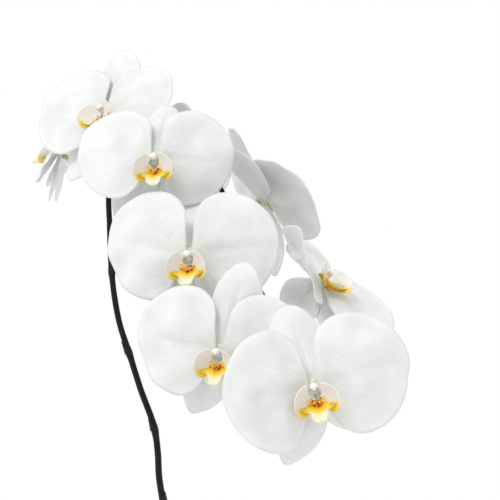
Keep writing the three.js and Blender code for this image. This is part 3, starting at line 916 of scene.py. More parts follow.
# ---------------------------------------------------------------- pot, liner and bark
@dataclass
class PlantedPot:
    """The glazed pot with its liner and bark, on the CAD's own sizes."""

    wall: float = 4.5
    foot_bevel: float = 2.5
    floor: float = 6
    liner_wall: float = 1.4
    clearance: float = 1.6
    pot_sides: int = 144
    liner_sides: int = 120
    chip_count: int = 420
    chip_sizes: tuple[tuple[float, float], ...] = ((9, 19), (6, 12), (2.6, 5.4))  # least and most
    chip_lean: float = 0.22  # how unevenly chips lie, in radians
    chip_lift: tuple[float, float] = (-1.6, 0.9)  # how deep and how high they lie
    crown_room: float = 9.5  # kept clear of chips round the crown
    seed: int = 7

    def __post_init__(self) -> None:
        """Reads the sizes that the frame gives."""
        low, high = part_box("pot")
        self.height = high.z / MM
        self.rim = high.x / MM
        low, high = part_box("liner")
        self.liner_base, self.liner_top, self.liner_rim = low.z / MM, high.z / MM, high.x / MM
        drawn_in = self.rim - self.liner_rim - self.wall - self.clearance
        self.base = self.rim - drawn_in * self.height / (self.height - self.liner_top)
        low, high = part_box("bark")
        self.bark_top = high.z / MM

    def radius(self, z: float) -> float:
        """The radius of the pot's outside at a height."""
        return self.base + (self.rim - self.base) * z / self.height

    def build(self) -> None:
        """Builds the pot, the liner, the bed and the chips."""
        self.pot()
        self.liner()
        self.bark()

    def pot(self) -> None:
        """The pot: tapered, with a bevelled foot and a round rim."""
        profile = [(0, 0), (self.radius(0) - self.foot_bevel - 1, 0)]
        for i in range(7):
            angle = math.pi / 2 * i / 6
            out = self.radius(0) - self.foot_bevel * (1 - math.sin(angle))
            profile.append((out, self.foot_bevel * (1 - math.cos(angle))))
        profile += [(self.radius(z), z) for z in np.linspace(self.foot_bevel + 4, self.height - 4, 14)]
        middle, half = self.rim - self.wall / 2, self.wall / 2
        for i in range(13):
            angle = math.pi * i / 12
            profile.append((middle + half * math.cos(angle), self.height - half + half * math.sin(angle)))
        inside = (self.height - 5, self.height / 2, self.floor + 3)
        profile += [(self.radius(z) - self.wall, z) for z in inside]
        profile += [(self.radius(self.floor) - self.wall - 3, self.floor), (0, self.floor)]
        Draft().add(turned(profile, self.pot_sides)).piece("glazed_pot", Stuff.GLAZE, "pot")

    def liner(self) -> None:
        """The liner's thin wall, with a rolled lip that shows inside the rim."""
        inset = self.wall + self.clearance
        base, top, wall = self.liner_base, self.liner_top, self.liner_wall
        profile = [(0, base), (self.radius(base) - inset - 1, base), (self.radius(base) - inset, base + 1)]
        profile += [(self.radius(z) - inset, z) for z in np.linspace(base + 8, top - 2, 10)]
        for i in range(7):
            angle = math.pi * i / 6
            middle = self.radius(top) - inset - wall / 2
            profile.append((middle + wall / 2 * math.cos(angle), top - wall / 2 + wall / 2 * math.sin(angle)))
        profile += [(self.radius(z) - inset - wall, z) for z in (top - 3, base + 4)]
        profile += [(0, base + 2)]
        Draft().add(turned(profile, self.liner_sides)).piece("nursery_liner", Stuff.PLASTIC, "liner")

    def surface(self, x: float, y: float) -> float:
        """The height of the bark at a place in plan.

        Args:
            x: To the right of the pot's axis.
            y: Behind it.

        Returns:
            The height.
        """
        broad = math.sin(0.19 * x + 0.6) * math.cos(0.17 * y - 0.4)
        return self.liner_top - BARK_BELOW_LINER + BARK_LUMP * (broad + 0.5 * math.sin(0.31 * (x + y)))

    def chip(self, rng: random.Random) -> Form:
        """One chip: a flat block with torn, uneven corners and worn edges.

        Args:
            rng: Where its sizes come from.

        Returns:
            Its points and faces.
        """
        size = np.array([rng.uniform(*span) for span in self.chip_sizes]) / 2
        steps = (-1.0, -0.82, 0.0, 0.82, 1.0)
        index: dict[tuple[int, int, int], int] = {}
        points: list[np.ndarray] = []
        bias = [rng.uniform(-0.3, 0.3) for _ in range(6)]
        offset = rng.uniform(0, 100)

        def corner(i: int, j: int, k: int) -> int:
            """The number of a point on the block's skin, made if it is new."""
            if (i, j, k) not in index:
                p = np.array([steps[i], steps[j], steps[k]])
                inner = np.abs(p) > 0.9
                if inner.sum() > 1:
                    p = np.where(inner, p * (0.93 if inner.sum() == 2 else 0.88), p)
                p = p * (1 + 0.16 * noise.noise(Vector(p * 1.7) + Vector((offset, 0, 0))))
                lean = bias[2] * p[0] * p[1] + bias[3] * p[0] * 0.5
                p = p + np.array([bias[0] * p[1] * 0.6, bias[1] * p[0] * 0.5, lean])
                index[(i, j, k)] = len(points)
                points.append(p * size)
            return index[(i, j, k)]

        faces = []
        for axis, end, a, b in itertools.product(range(3), (0, 4), range(4), range(4)):
            ring = []
            for da, db in ((0, 0), (1, 0), (1, 1), (0, 1)):
                key = [0, 0, 0]
                key[axis], key[(axis + 1) % 3], key[(axis + 2) % 3] = end, a + da, b + db
                ring.append(corner(*key))
            faces.append(tuple(ring if end else ring[::-1]))
        return np.array(points), faces

    def bark(self) -> None:
        """The bark: a dark bed, and loose chips that cover it."""
        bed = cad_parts["bark"]
        bed.data.materials.clear()
        bed.data.materials.append(Stuff.BARK.value.material())
        rng = random.Random(self.seed)
        limit = self.radius(self.surface(0, 0)) - self.wall - self.clearance - self.liner_wall - 2
        draft = Draft()
        for n in range(self.chip_count):
            out = limit * math.sqrt((n + 0.5) / self.chip_count)
            angle = n * GOLDEN_ANGLE + rng.uniform(-0.25, 0.25)
            points, faces = self.chip(rng)
            long_half = np.abs(points[:, :2]).max()
            out = max(min(out, limit - 0.75 * long_half), self.crown_room + 0.5 * long_half)
            x, y = out * math.cos(angle), out * math.sin(angle)
            lean = [rng.gauss(0, self.chip_lean) for _ in range(2)]
            turn = Euler((*lean, rng.uniform(0, math.pi))).to_matrix()
            points = points @ np.array(turn, float).T
            lift = self.surface(x, y) + rng.uniform(*self.chip_lift)
            lift = min(lift, self.bark_top + 1.8 - points[:, 2].max())
            draft.add((points + np.array([x, y, lift]), faces), tone=rng.random() ** 1.6)
        draft.piece("bark_chips", Stuff.BARK)


# ---------------------------------------------------------------- crown, leaves and roots
@dataclass(frozen=True)
class LeafShape:
    """One leaf, in millimetres and degrees."""

    heading: float
    length: float
    half_width: float
    rise: float
    droop: float


@dataclass
class Rosette:
    """The short stem with its leaves and aerial roots."""

    crown_tip: float = 4.0
    crown_sides: int = 40
    stand_off: float = 1.93
    lowest: float = 6.0
    stack: float = 6.2
    root_half_width: float = 9.0
    keel: float = 7.0
    thickness: float = 2.4
    root_radius: float = 2.6
    root_sides: int = 18
    sheath_half_turn: float = 2.3  # how far each leaf's base clasps the crown, in radians
    leaves: tuple[LeafShape, ...] = (
        LeafShape(196, 196, 33, 30, 84),
        LeafShape(14, 206, 35, 32, 84),
        LeafShape(205, 222, 37, 40, 84),
        LeafShape(28, 214, 37, 44, 84),
        LeafShape(188, 176, 33, 54, 70),
        LeafShape(8, 128, 27, 64, 46),
    )
    # Share of the way from the crown to the rim, heading, and height over the bark.
    roots: tuple[tuple[Triple, ...], ...] = (
        ((0.02, 252, 8), (0.36, 249, 15), (0.71, 245, 21), (1.01, 244, 20), (1.26, 243, 6), (1.43, 243, -14),
         (1.49, 243, -36)),
        ((0.03, 307, 6), (0.31, 309, 10), (0.57, 311, 8), (0.77, 313, 4)),
        ((0.03, 101, 8), (0.32, 86, 14), (0.65, 79, 20), (0.98, 75, 20), (1.23, 71, 6), (1.36, 69, -16)),
    )  # fmt: skip

    def __post_init__(self) -> None:
        """Reads the heights that the frame gives."""
        self.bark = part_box("liner")[1].z / MM - BARK_BELOW_LINER
        self.crown_low, self.crown_high = (corner.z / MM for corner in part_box("crown"))
        self.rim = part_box("pot")[1].x / MM

    def build(self) -> None:
        """Builds the crown, the leaves and the roots."""
        self.crown()
        for rank, leaf in enumerate(self.leaves):
            self.leaf(rank, leaf)
        for number, route in enumerate(self.roots):
            self.root(number, route)

    def base_height(self, rank: int) -> float:
        """The height of a leaf's base, by its rank from the lowest."""
        return self.bark + self.lowest + self.stack * rank

    def crown(self) -> None:
        """The stem, with the sheath of each leaf's base wrapped round it."""
        half = self.bark + 20
        profile = [(0, self.crown_low), (6.4, self.crown_low), (CROWN_RADIUS, self.bark)]
        for share in np.linspace(0, 1, 14)[1:]:
            z = self.bark + share * (self.crown_high - 2 - self.bark)
            r = CROWN_RADIUS + (self.crown_tip - CROWN_RADIUS) * float(ramp(half, self.crown_high - 2, z))
            profile.append((r + 0.18 * math.sin(z * 1.3), z))
        profile += [(self.crown_tip * 0.6, self.crown_high - 0.6), (0, self.crown_high)]
        draft = Draft().add(turned(profile, self.crown_sides), reach=0.1)
        for rank, leaf in enumerate(self.leaves):
            draft.join(self.sheath(rank, leaf))
        draft.piece("crown_stem", Stuff.LEAF, "crown")

    def sheath(self, rank: int, leaf: LeafShape) -> Draft:
        """A leaf's clasping base: a collar that is tall under its leaf and low behind.

        Args:
            rank: The leaf's rank from the lowest.
            leaf: The leaf.

        Returns:
            The collar.
        """
        across, levels = 28, 6
        swing = np.linspace(-self.sheath_half_turn, self.sheath_half_turn, across)
        turn = np.radians(leaf.heading) + swing
        off = np.abs(swing) / self.sheath_half_turn
        height = self.base_height(rank)
        stem = np.interp(height, [self.bark + 20, self.crown_high], [CROWN_RADIUS, self.crown_tip])
        inner, outer = [], []
        for level in np.linspace(0, 1, levels):
            z = height - 6.5 + level * (9.5 * (1 - 0.62 * off**1.5))
            spread = stem + 0.35 + 1.5 * level * (1 - off) ** 0.8
            thickness = 0.9 * (1 - 0.5 * level) * (1 - 0.6 * off**3)
            for rows, out in ((inner, spread), (outer, spread + thickness)):
                rows.append(np.stack([out * np.cos(turn), out * np.sin(turn), z], axis=1))
        reach = np.tile(np.repeat(np.linspace(0.0, 0.13, levels), across), 2)
        return Draft().add(plate(outer, inner), reach=reach, across=0.5)

    def leaf(self, rank: int, leaf: LeafShape) -> None:
        """One strap leaf, folded along its midrib and arching out.

        Args:
            rank: Its rank from the lowest.
            leaf: Its shape.
        """
        length, half = leaf.length, leaf.half_width
        outline = (
            (0, -self.root_half_width),
            (0.16 * length, -0.52 * half),
            (0.4 * length, -0.92 * half),
            (0.66 * length, -half),
            (0.88 * length, -0.72 * half),
            (length, 0),
        )
        mesh = {"half": True, "count": 120, "rings": 16}
        blade = Blade(outline, self.thickness, 1.0, **mesh, keel=self.keel, waver=1.2, groove=0.5)
        place = (
            Matrix.Rotation(math.radians(leaf.heading), 4, "Z")
            @ Matrix.Translation((CROWN_RADIUS + self.stand_off, 0, self.base_height(rank)))
            @ Matrix.Rotation(-math.radians(leaf.rise), 4, "Y")
        )
        draft = blade.draft(Pose(bend=leaf.droop), seed=rank + 0.5).placed(place)
        draft.piece(f"strap_leaf_{rank + 1}", Stuff.LEAF, f"leaf_{rank + 1}")

    def root(self, number: int, route: tuple[Triple, ...]) -> None:
        """One aerial root, a little knobbly, with a blunt green tip.

        Args:
            number: Its number, from 0.
            route: Its points, each a share of the way to the rim, a heading and a height over the bark.
        """
        points = []
        for share, heading, height in route:
            out = CROWN_RADIUS + share * (self.rim - CROWN_RADIUS)
            angle = math.radians(heading)
            points.append((out * math.cos(angle), out * math.sin(angle), self.bark + BARK_LUMP + height))
        shares = np.linspace(0, 1, 90)
        path = SmoothCurve(tuple(points)).at(shares)
        knobs = np.array([noise.noise((s * 14, number * 3.1, 0.4)) for s in shares])
        radii = self.root_radius * (1 + 0.1 * knobs) * np.sqrt(np.clip((1.004 - shares) / 0.03, 0.02, 1))
        along = np.concatenate([np.repeat(shares, self.root_sides), [0, 1]])
        draft = Draft().add(tube(path, radii, self.root_sides), along=along)
        draft.piece(f"air_root_{number + 1}", Stuff.ROOT, f"aerial_root_{number + 1}")


# ---------------------------------------------------------------- flowers
@dataclass(frozen=True)
class FlowerSpot:
    """Where one flower stands and how it is set.

    Attributes:
        centre: Where its petals meet, its height counted from the bark.
        yaw: 0 faces the front and 90 the right.
        pitch: Upwards.
        roll: Anticlockwise, as seen from in front of it.
        size: Its scale.
        joint: How far up the spike its pedicel leaves.
        changes: What differs from the usual pose, by organ.
    """

    centre: tuple[float, float, float]
    yaw: float
    pitch: float
    roll: float
    size: float
    joint: float
    changes: dict[str, dict[str, float]] = field(default_factory=dict)

    def matrix(self, bark: float) -> Matrix:
        """The flower's own axes: X to its right, Y to its dorsal sepal, Z the way it faces.

        Args:
            bark: The height of the bark.

        Returns:
            The matrix from the flower to the frame, in millimetres.
        """
        yaw, pitch = math.radians(self.yaw), math.radians(self.pitch)
        facing = Vector((math.sin(yaw) * math.cos(pitch), -math.cos(yaw) * math.cos(pitch), math.sin(pitch)))
        right = Vector((math.cos(yaw), math.sin(yaw), 0))
        up = facing.cross(right)
        axes = Matrix((right, up, facing)).transposed().to_4x4()
        x, y, z = self.centre
        place = Matrix.Translation((x, y, z + bark)) @ axes
        return place @ Matrix.Rotation(math.radians(self.roll), 4, "Z") @ Matrix.Scale(self.size, 4)


PETAL = (
    (0, -1.6), (3, -9), (6, -21), (13, -29.5), (23, -32), (35, -28.5), (45, -20), (52, -7), (53.5, 6),
    (49, 19), (39, 29.5), (26, 34.5), (14, 33.5), (5, 26), (2, 12), (0, 1.6),
)  # fmt: skip
PETAL_BLADE = Blade(PETAL, 0.9, 0.26, count=88, rings=14, groove=0.7, waver=2.4, frill=0.6)
SEPAL_MESH = {"half": True, "count": 56, "rings": 9, "groove": 0.7, "waver": 1.2, "frill": 0.3}
DORSAL = ((0, -2.4), (9, -8), (23, -14.5), (38, -14.5), (50, -7.5), (54, 0))
LATERAL = ((0, -2.4), (8, -9), (20, -14.5), (33, -12.5), (44, -5.5), (48.5, 0))
MIDLOBE = (
    (0, -3), (1.2, -7.5), (2.4, -11.8), (5.4, -10.8), (6.9, -4.8), (10.5, -4.2), (13.5, -2.6), (14.6, 0),
)  # fmt: skip
SIDE_LOBE = (
    (0, -1.6), (2.5, -5.4), (6.5, -8.2), (11, -7.8), (14.2, -4.4), (15.2, 0.8), (14, 6), (11.2, 9.2),
    (8.2, 8.9), (5.6, 5.6), (2.6, 3), (0, 1.6),
)  # fmt: skip

DORSAL_BLADE = Blade(DORSAL, 0.9, 0.3, **SEPAL_MESH)
LATERAL_BLADE = Blade(LATERAL, 0.9, 0.3, **SEPAL_MESH)
MIDLOBE_BLADE = Blade(MIDLOBE, 1.3, 0.6, half=True, count=72, rings=9, groove=0.5, frill=0.15)
WING_BLADE = Blade(SIDE_LOBE, 0.8, 0.3, count=64, rings=11, waver=0.5, frill=0.2)

# Each blade's surface is its own by its seed, which steps by flower and by sepal.
FLOWER_SEED, SEPAL_SEED, LOBE_SEED, WING_SEED = 10.0, 1.3, 3.1, 5.7

FLOWERS = (
    FlowerSpot((-75, 106, 379), -92, 32, 0, 0.8, 0.68, {"petal_right": {"tilt": 12}}),
    FlowerSpot((-40, 46, 401), -36, 33, 13, 0.98, 0.71, {
        "petal_left": {"azimuth": 14, "tilt": 18, "twist": 4},
        "petal_right": {"azimuth": 12, "tilt": 12, "scale": 0.92},
        "dorsal": {"azimuth": 90, "tilt": -2, "bend": 2, "scale": 1.08}, "lateral": {"tilt": -6}}),
    FlowerSpot((0, 72, 372), 160, 10, 25, 0.82, 0.77, {"petal_right": {"tilt": 30}}),
    FlowerSpot((-6, -8, 371), -6, 4, 4, 0.98, 0.79, {
        "petal_left": {"azimuth": 13, "tilt": 6, "twist": -17, "scale": 0.93},
        "petal_right": {"azimuth": -8, "tilt": 8, "twist": 4, "scale": 0.9},
        "dorsal": {"azimuth": 78, "tilt": -26, "bend": 14, "scale": 0.82}, "lateral": {"tilt": -26},
        "lateral_left": {"azimuth": -56, "tilt": -10, "twist": 30}}),
    FlowerSpot((60.5, 38, 346), 130, 36, 30, 1, 0.85, {
        "petal_left": {"azimuth": 28, "tilt": 10, "scale": 0.97}, "petal_right": {"tilt": 40},
        "lateral": {"tilt": -20}}),
    FlowerSpot((16.5, -34, 311.5), -12, 0, 3, 1, 0.88, {
        "petal_left": {"azimuth": 12}, "dorsal": {"azimuth": 84, "tilt": -34, "bend": 20}}),
    FlowerSpot((98, 12, 294), 58, 40, -35, 1, 0.92, {
        "petal_left": {"azimuth": -14, "tilt": 4, "bend": -46, "scale": 0.84},
        "petal_right": {"azimuth": -20, "tilt": 14, "bend": 16},
        "dorsal": {"azimuth": 89, "tilt": -2, "twist": -15}}),
    FlowerSpot((35, -58, 254), -16, -4, 0, 1, 0.95, {
        "petal_left": {"azimuth": 10}, "petal_right": {"azimuth": -4},
        "dorsal": {"azimuth": 73, "bend": 0}, "lateral": {"azimuth": -60}}),
    FlowerSpot((89.5, -100, 235.5), 0, 0, 12, 1.06, 1, {
        "petals": {"azimuth": 2}, "petal_left": {"tilt": 42},
        "dorsal": {"azimuth": 94, "tilt": -28, "twist": 16},
        "lateral_right": {"azimuth": -40}, "lateral_left": {"azimuth": -61}}),
)  # fmt: skip


@dataclass
class Flower:
    """One flower: three sepals on a hub, two petals, the column and the lip."""

    number: int
    spot: FlowerSpot
    bark: float
    hub_radius: float = 4.2
    hub_depth: float = 2.4
    ovary_radius: float = 1.9
    petal_gap: float = 0.2
    petal_depth: float = 1.2
    column_length: float = 9.5
    column_radius: float = 2.3
    gap: float = 0.4
    column_foot: float = 0.8
    lip_drop: float = 7.3
    lip_forward: float = 4.6
    lobe_reach: float = 1.6
    callus_radius: float = 2.8
    sepal_reach: float = 1.0
    tendril_reach: float = 13.9  # along the middle lobe, to where its tendrils leave
    hub_sides: int = 28
    column_sides: int = 26
    usual_dorsal: Pose = Pose(90, -8, 0, 2.5, 12)
    usual_lateral: Pose = Pose(-54, -11, 8, 2.5, 14)
    usual_petal: Pose = Pose(4, 5, 0, 4, 28, 1.2)
    middle_lobe: Pose = Pose(-90, 56, 0, -3, 14)
    side_lobe: Pose = Pose(20, 16, 0, -3, -50)

    def __post_init__(self) -> None:
        """Sets the flower's axes and its name."""
        self.matrix = self.spot.matrix(self.bark)
        self.node = f"flower_{self.number}"

    def changed(self, pose: Pose, *organs: str) -> Pose:
        """A usual pose with this flower's own changes, in order.

        Args:
            pose: The usual pose.
            *organs: Whose changes are laid over it.

        Returns:
            The flower's pose.
        """
        for organ in organs:
            pose = replace(pose, **self.spot.changes.get(organ, {}))
        return pose

    def place(self, draft: Draft, name: str, stuff: "Stuff", stands_for: str, at: Triple = (0, 0, 0)) -> None:
        """Sets one finished organ in the frame.

        Args:
            draft: The organ in the flower's axes.
            name: What it is called.
            stuff: What it is made of.
            stands_for: The CAD organ that it replaces.
            at: Where its own middle stands in the flower's axes.
        """
        draft = draft.placed(self.matrix @ Matrix.Translation(at))
        draft.piece(f"{self.node}_{name}", stuff, f"{self.node}_{stands_for}")

    def build(self) -> None:
        """Builds the flower's pieces."""
        self.sepals()
        self.petals()
        self.column()
        self.lip()

    def sepals(self) -> None:
        """The three sepals and the hub that joins them."""
        r, d = self.hub_radius, self.hub_depth
        profile = [(0, -d), (self.ovary_radius + 0.6, -d), (0.72 * r, -0.75 * d), (0.92 * r, -0.45 * d)]
        profile += [(r, -0.15 * d), (0.9 * r, 0), (0, 0)]
        draft = Draft().add(turned(profile, self.hub_sides), reach=0.05)
        organs = (
            (DORSAL_BLADE, self.changed(self.usual_dorsal, "dorsal"), False),
            (LATERAL_BLADE, self.changed(self.usual_lateral, "lateral", "lateral_right"), False),
            (LATERAL_BLADE, self.changed(self.usual_lateral, "lateral", "lateral_left"), True),
        )
        for step, (blade, pose, mirrored) in enumerate(organs, start=1):
            seed = FLOWER_SEED * self.number + SEPAL_SEED * step
            draft.join(blade.fixed(pose, seed, self.sepal_reach, -d / 2, mirrored))
        self.place(draft, "sepal_whorl", Stuff.PETAL, "sepals")

    def petals(self) -> None:
        """The two broad petals."""
        reach = self.column_foot * self.column_radius + self.petal_gap
        for side, mirrored in (("right", False), ("left", True)):
            pose = self.changed(self.usual_petal, "petals", f"petal_{side}")
            seed = FLOWER_SEED * self.number + 5 + mirrored
            draft = PETAL_BLADE.fixed(pose, seed, reach, self.petal_depth, mirrored)
            self.place(draft, f"broad_petal_{side}", Stuff.PETAL, f"petal_{side}")

    def column(self) -> None:
        """The column, hooded at its end over a small anther cap."""
        r, length = self.column_radius, self.column_length
        shape = (
            (0, 0), (0.8, 0), (0.74, 0.2), (0.72, 0.4), (0.88, 0.58), (1.12, 0.76), (1.05, 0.86),
            (0.82, 0.94), (0.45, 0.985), (0, 1),
        )  # fmt: skip
        points, faces = turned([(out * r, along * length) for out, along in shape], self.column_sides)
        along = points[:, 2] / length
        points[:, 1] += 0.55 * r * ramp(0.55, 0.8, along) * ramp(0.2, -0.9, points[:, 1] / r)
        cap, cap_faces = turned([(0, -0.8), (0.9, -0.6), (1.25, 0), (0.9, 0.6), (0, 0.8)], 16)
        cap = cap * np.array([1.0, 1.0, 0.9]) + np.array([0, -0.15 * r, 0.93 * length])
        draft = Draft().add((points, faces), along=along).add((cap, cap_faces), along=1.0)
        self.place(draft, "waxy_column", Stuff.COLUMN, "column", (0, 0, self.gap))

    def lip(self) -> None:
        """The lip: a pointed middle lobe with two tendrils, two erect side lobes, and the callus between."""
        draft = Draft()
        draft.join(MIDLOBE_BLADE.fixed(self.middle_lobe, LOBE_SEED, 0, 0, False, lobe=0.0))
        for mirrored in (False, True):
            draft.join(WING_BLADE.fixed(self.side_lobe, WING_SEED, self.lobe_reach, 0, mirrored, lobe=1.0))
        draft.join(self.callus())
        near_tip = np.array([[self.tendril_reach, 0.0]])
        end = Vector(MIDLOBE_BLADE.formed(self.middle_lobe, near_tip, LOBE_SEED)[0])
        for hand in (-1, 1):
            draft.join(self.tendril(np.array(self.middle_lobe.matrix(0, 0) @ end), hand))
        place = (0, -self.column_radius - self.lip_drop, self.lip_forward)
        self.place(draft, "freckled_lip", Stuff.LIP, "lip", place)

    def callus(self) -> Draft:
        """The two-humped callus where the lobes meet."""
        draft = Draft()
        r = self.callus_radius
        turn = np.linspace(0, math.pi, 12)
        ball, faces = turned([(0, -1), *[(math.sin(a), -math.cos(a)) for a in turn[1:-1]], (0, 1)], 22)
        for x in (-0.36, 0.36):
            hump = ball * np.array([0.62, 0.86, 0.9]) * r + np.array([x * r, 0.05 * r, 0.1 * r])
            draft.add((hump, faces), lobe=3.0, reach=0.1)
        return draft.add((ball * np.array([0.7, 0.95, 0.8]) * r, faces), lobe=3.0, reach=0.1)

    def tendril(self, start: np.ndarray, hand: int) -> Draft:
        """One of the two fine curls at the lip's tip.

        Args:
            start: Where it leaves the middle lobe.
            hand: 1 for the right one and -1 for the left.

        Returns:
            The curl.
        """
        steps = (
            (0, 0.8, 0), (1.6, 0.4, 0.4), (3.4, 1.4, 0.6),
            (4.4, 3.3, 0.2), (3.8, 5.0, -0.6), (2.4, 5.2, -1.2),
        )  # fmt: skip
        points = tuple(tuple(start + np.array([hand * x, y, z])) for x, y, z in steps)
        shares = np.linspace(0, 1, 26)
        return Draft().add(tube(SmoothCurve(points).at(shares), 0.5 - 0.28 * shares, 9), reach=0.8)


# ---------------------------------------------------------------- spike
@dataclass
class FlowerSpike:
    """The arching flower stem, its joints and the pedicels."""

    bark: float
    base_radius: float = 2.4
    tip_radius: float = 1.3
    node_swell: float = 0.45
    node_length: float = 3.2
    pedicel_radius: float = 1.3
    ovary_radius: float = 1.9
    nodes: tuple[float, ...] = (106, 154, 201, 249, 300)
    bare_from: float = 0.6  # share of its length above which it has no joints
    route: tuple[Triple, ...] = (
        (11, -17, 56), (13, -14, 80), (8, -4, 120), (0, 3, 150), (-4, 8, 171), (-5, 10, 187),
        (-7.5, 12, 203), (-16, 15, 226), (-23.5, 18, 249), (-29.5, 20, 267), (-33.5, 22, 288),
        (-35.5, 25, 308), (-36.5, 28, 330), (-37, 33, 352), (-31, 39, 372), (-17, 43, 385), (0, 43, 387),
        (16, 37, 378), (31, 28, 359), (42, 18, 336), (51, 9, 310), (60, 1, 288), (71, -7, 269),
        (84, -22, 252), (95, -46, 239),
    )  # fmt: skip

    def __post_init__(self) -> None:
        """Lays the stem's middle line."""
        start = CROWN_RADIUS + self.base_radius
        route = ((1, -(start + 0.6), 20), (5, -(start + 3.6), 38), *self.route)
        self.curve = SmoothCurve(tuple((x, y, z + self.bark) for x, y, z in route))

    def build(self) -> None:
        """Builds the stem with its sheaths, and every pedicel, as one piece."""
        draft = self.stem()
        for height in self.nodes:
            draft.join(self.bract(height))
        for spot in FLOWERS:
            draft.join(self.pedicel(spot))
        draft.piece("flower_stem", Stuff.STEM, "spike")

    def stem(self) -> Draft:
        """The stem itself, tapered, with a swelling and a pale ring at each joint."""
        shares, sides = np.linspace(0, 1, 420), 20
        path = self.curve.at(shares)
        heights = path[:, 2] - self.bark
        swell, ring = (
            sum(np.exp(-(((heights - n) / reach) ** 2)) for n in self.nodes) * (shares < self.bare_from)
            for reach in (self.node_length, 0.5 * self.node_length)
        )
        radii = self.base_radius + (self.tip_radius - self.base_radius) * shares + self.node_swell * swell
        radii[-4:] *= np.array([0.98, 0.9, 0.7, 0.35])
        along = np.concatenate([np.repeat(shares, sides), [0, 1]])
        joint = np.concatenate([np.repeat(ring, sides), [0, 0]])
        return Draft().add(tube(path, radii, sides), along=along, joint=joint, stalk=0.0)

    def bract(self, height: float) -> Draft:
        """The dry pointed scale that clasps the stem at a joint.

        Args:
            height: The joint's height over the bark.

        Returns:
            The scale.
        """
        shares = np.linspace(0, self.bare_from, 900)
        path = self.curve.at(shares)
        at = int(np.argmin(np.abs(path[:, 2] - self.bark - height)))
        ahead = unit(path[at + 3] - path[at - 3])
        side = unit(np.cross(ahead, [0.2, 1.0, 0.1]))
        other = np.cross(ahead, side)
        radius = self.base_radius + (self.tip_radius - self.base_radius) * shares[at] + self.node_swell
        across, levels = 14, 8
        outer, inner = [], []
        for level in np.linspace(0, 1, levels):
            half = 1.9 * (1 - level**1.4) + 0.05
            turn = np.linspace(-half, half, across) + (0 if int(height) % 2 else math.pi)
            out = radius * (1.02 - 0.14 * level)
            around = np.cos(turn)[:, None] * side + np.sin(turn)[:, None] * other
            spine = path[at] + ahead * (9.0 * level - 0.6)
            outer.append(spine + (out + 0.45) * around)
            inner.append(spine + (out + 0.1) * around)
        return Draft().add(plate(outer, inner), joint=0.8, stalk=0.0)

    def pedicel(self, spot: FlowerSpot) -> Draft:
        """A flower's stalk, which thickens into its ribbed ovary behind the hub.

        Args:
            spot: The flower.

        Returns:
            The stalk.
        """
        matrix = spot.matrix(self.bark)
        back = np.array(matrix @ Vector((0, 0, -2.8)))
        facing = unit(np.array(matrix.to_3x3() @ Vector((0, 0, 1))))
        start = self.curve.at(np.array([min(spot.joint, 0.995)]))[0]
        reach = float(np.linalg.norm(back - start))
        towards = unit(back - start)
        leaving = start + towards * 0.3 * reach + np.array([0, 0, 0.08 * reach])
        shares, sides = np.linspace(0, 1, 44), 18
        path = bezier((start, leaving, back - facing * 0.45 * reach, back), shares)
        radii = self.pedicel_radius + (self.ovary_radius - self.pedicel_radius) * shares**2
        along = np.concatenate([np.repeat(shares, sides), [0, 1]])
        stalk = np.concatenate([np.repeat(ramp(0.0, 0.12, shares), sides), [0, 1]])
        body = tube(path, radii, sides, flutes=6, flute_depth=0.12)
        return Draft().add(body, along=along, stalk=stalk, joint=0.0)


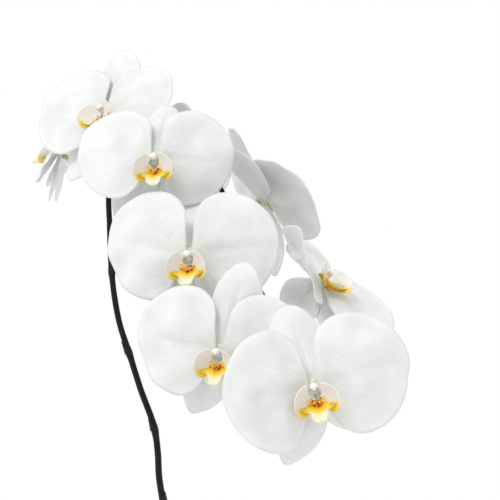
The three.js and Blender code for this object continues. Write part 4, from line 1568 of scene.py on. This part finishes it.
# ---------------------------------------------------------------- stage, lights and camera
@dataclass
class Studio:
    """A white sweep of floor before a white wall of sky, with one soft key lamp and a long lens.

    The sky is plain white behind the plant, and a little dimmer and greener on the camera's side, so that the
    petals that turn from the lamp fall into soft grey.
    """

    floor_radius: float = 1.7
    floor_height: float = -0.0003
    sky_strength: float = 1.0
    near_sky: tuple[float, float, float, float] = (0.77, 0.785, 0.77, 1.0)
    key_strength: float = 1.35
    key_angle: float = 20.0
    lens: float = 150.0
    camera_place: tuple[float, float, float] = (0.053, -1.3, 0.416)

    def build(self) -> None:
        """Sets the floor, the lights, the camera and the view."""
        self.floor()
        self.lights()
        self.camera()
        settings = bpy.context.scene.view_settings
        settings.view_transform = "Standard"
        settings.look = "None"
        settings.exposure = 0.0
        settings.gamma = 1.0

    def floor(self) -> None:
        """The round pale floor."""
        sides, r = 96, self.floor_radius
        turn = np.linspace(0, 2 * math.pi, sides, endpoint=False)
        ring = np.stack([r * np.cos(turn), r * np.sin(turn), np.full(sides, self.floor_height)], axis=1)
        mesh = bpy.data.meshes.new("pale_floor")
        mesh.from_pydata(ring.tolist(), [], [tuple(range(sides))])
        floor = bpy.data.objects.new("pale_floor", mesh)
        bpy.context.scene.collection.objects.link(floor)
        paper = bpy.data.materials.new("matt white paper")
        paper.use_nodes = True
        Paint(paper.node_tree).shader({"Base Color": linear("f6f6f6"), "Roughness": 0.9})
        mesh.materials.append(paper)

    def lights(self) -> None:
        """The sky and the key lamp."""
        world = bpy.data.worlds.new("white sky")
        world.use_nodes = True
        paint = Paint(world.node_tree)
        away = paint.node("SeparateXYZ", {0: paint.node("TexCoord", out="Generated")}, 1)
        shares = {0: paint.between(away, -0.35, 0.15), 6: self.near_sky, 7: (1, 1, 1, 1)}
        colour = paint.node("Mix", shares, 2, data_type="RGBA")
        paint.fill(world.node_tree.nodes["Background"], {"Color": colour, "Strength": self.sky_strength})
        bpy.context.scene.world = world
        key = bpy.data.lights.new("soft key", "SUN")
        key.energy = self.key_strength
        key.angle = math.radians(self.key_angle)
        lamp = bpy.data.objects.new("soft key", key)
        lamp.rotation_euler = Vector((-0.38, -0.55, 0.75)).to_track_quat("Z", "Y").to_euler()
        bpy.context.scene.collection.objects.link(lamp)

    def camera(self) -> None:
        """The camera, level, a little over a metre in front of the flowers."""
        data = bpy.data.cameras.new("long lens")
        data.lens = self.lens
        data.sensor_width = 36.0
        data.clip_start, data.clip_end = 0.05, 30.0
        camera = bpy.data.objects.new("long lens", data)
        camera.location = self.camera_place
        camera.rotation_euler = (math.radians(90), 0, 0)
        bpy.context.scene.collection.objects.link(camera)
        bpy.context.scene.camera = camera


def main() -> None:
    """Builds the pot, the plant and the studio, in order."""
    logging.basicConfig(level=logging.INFO, format="%(message)s")
    PlantedPot().build()
    rosette = Rosette()
    rosette.build()
    FlowerSpike(rosette.bark).build()
    for number, spot in enumerate(FLOWERS, start=1):
        Flower(number, spot, rosette.bark).build()
    Studio().build()


if __name__ == "__main__":
    main()
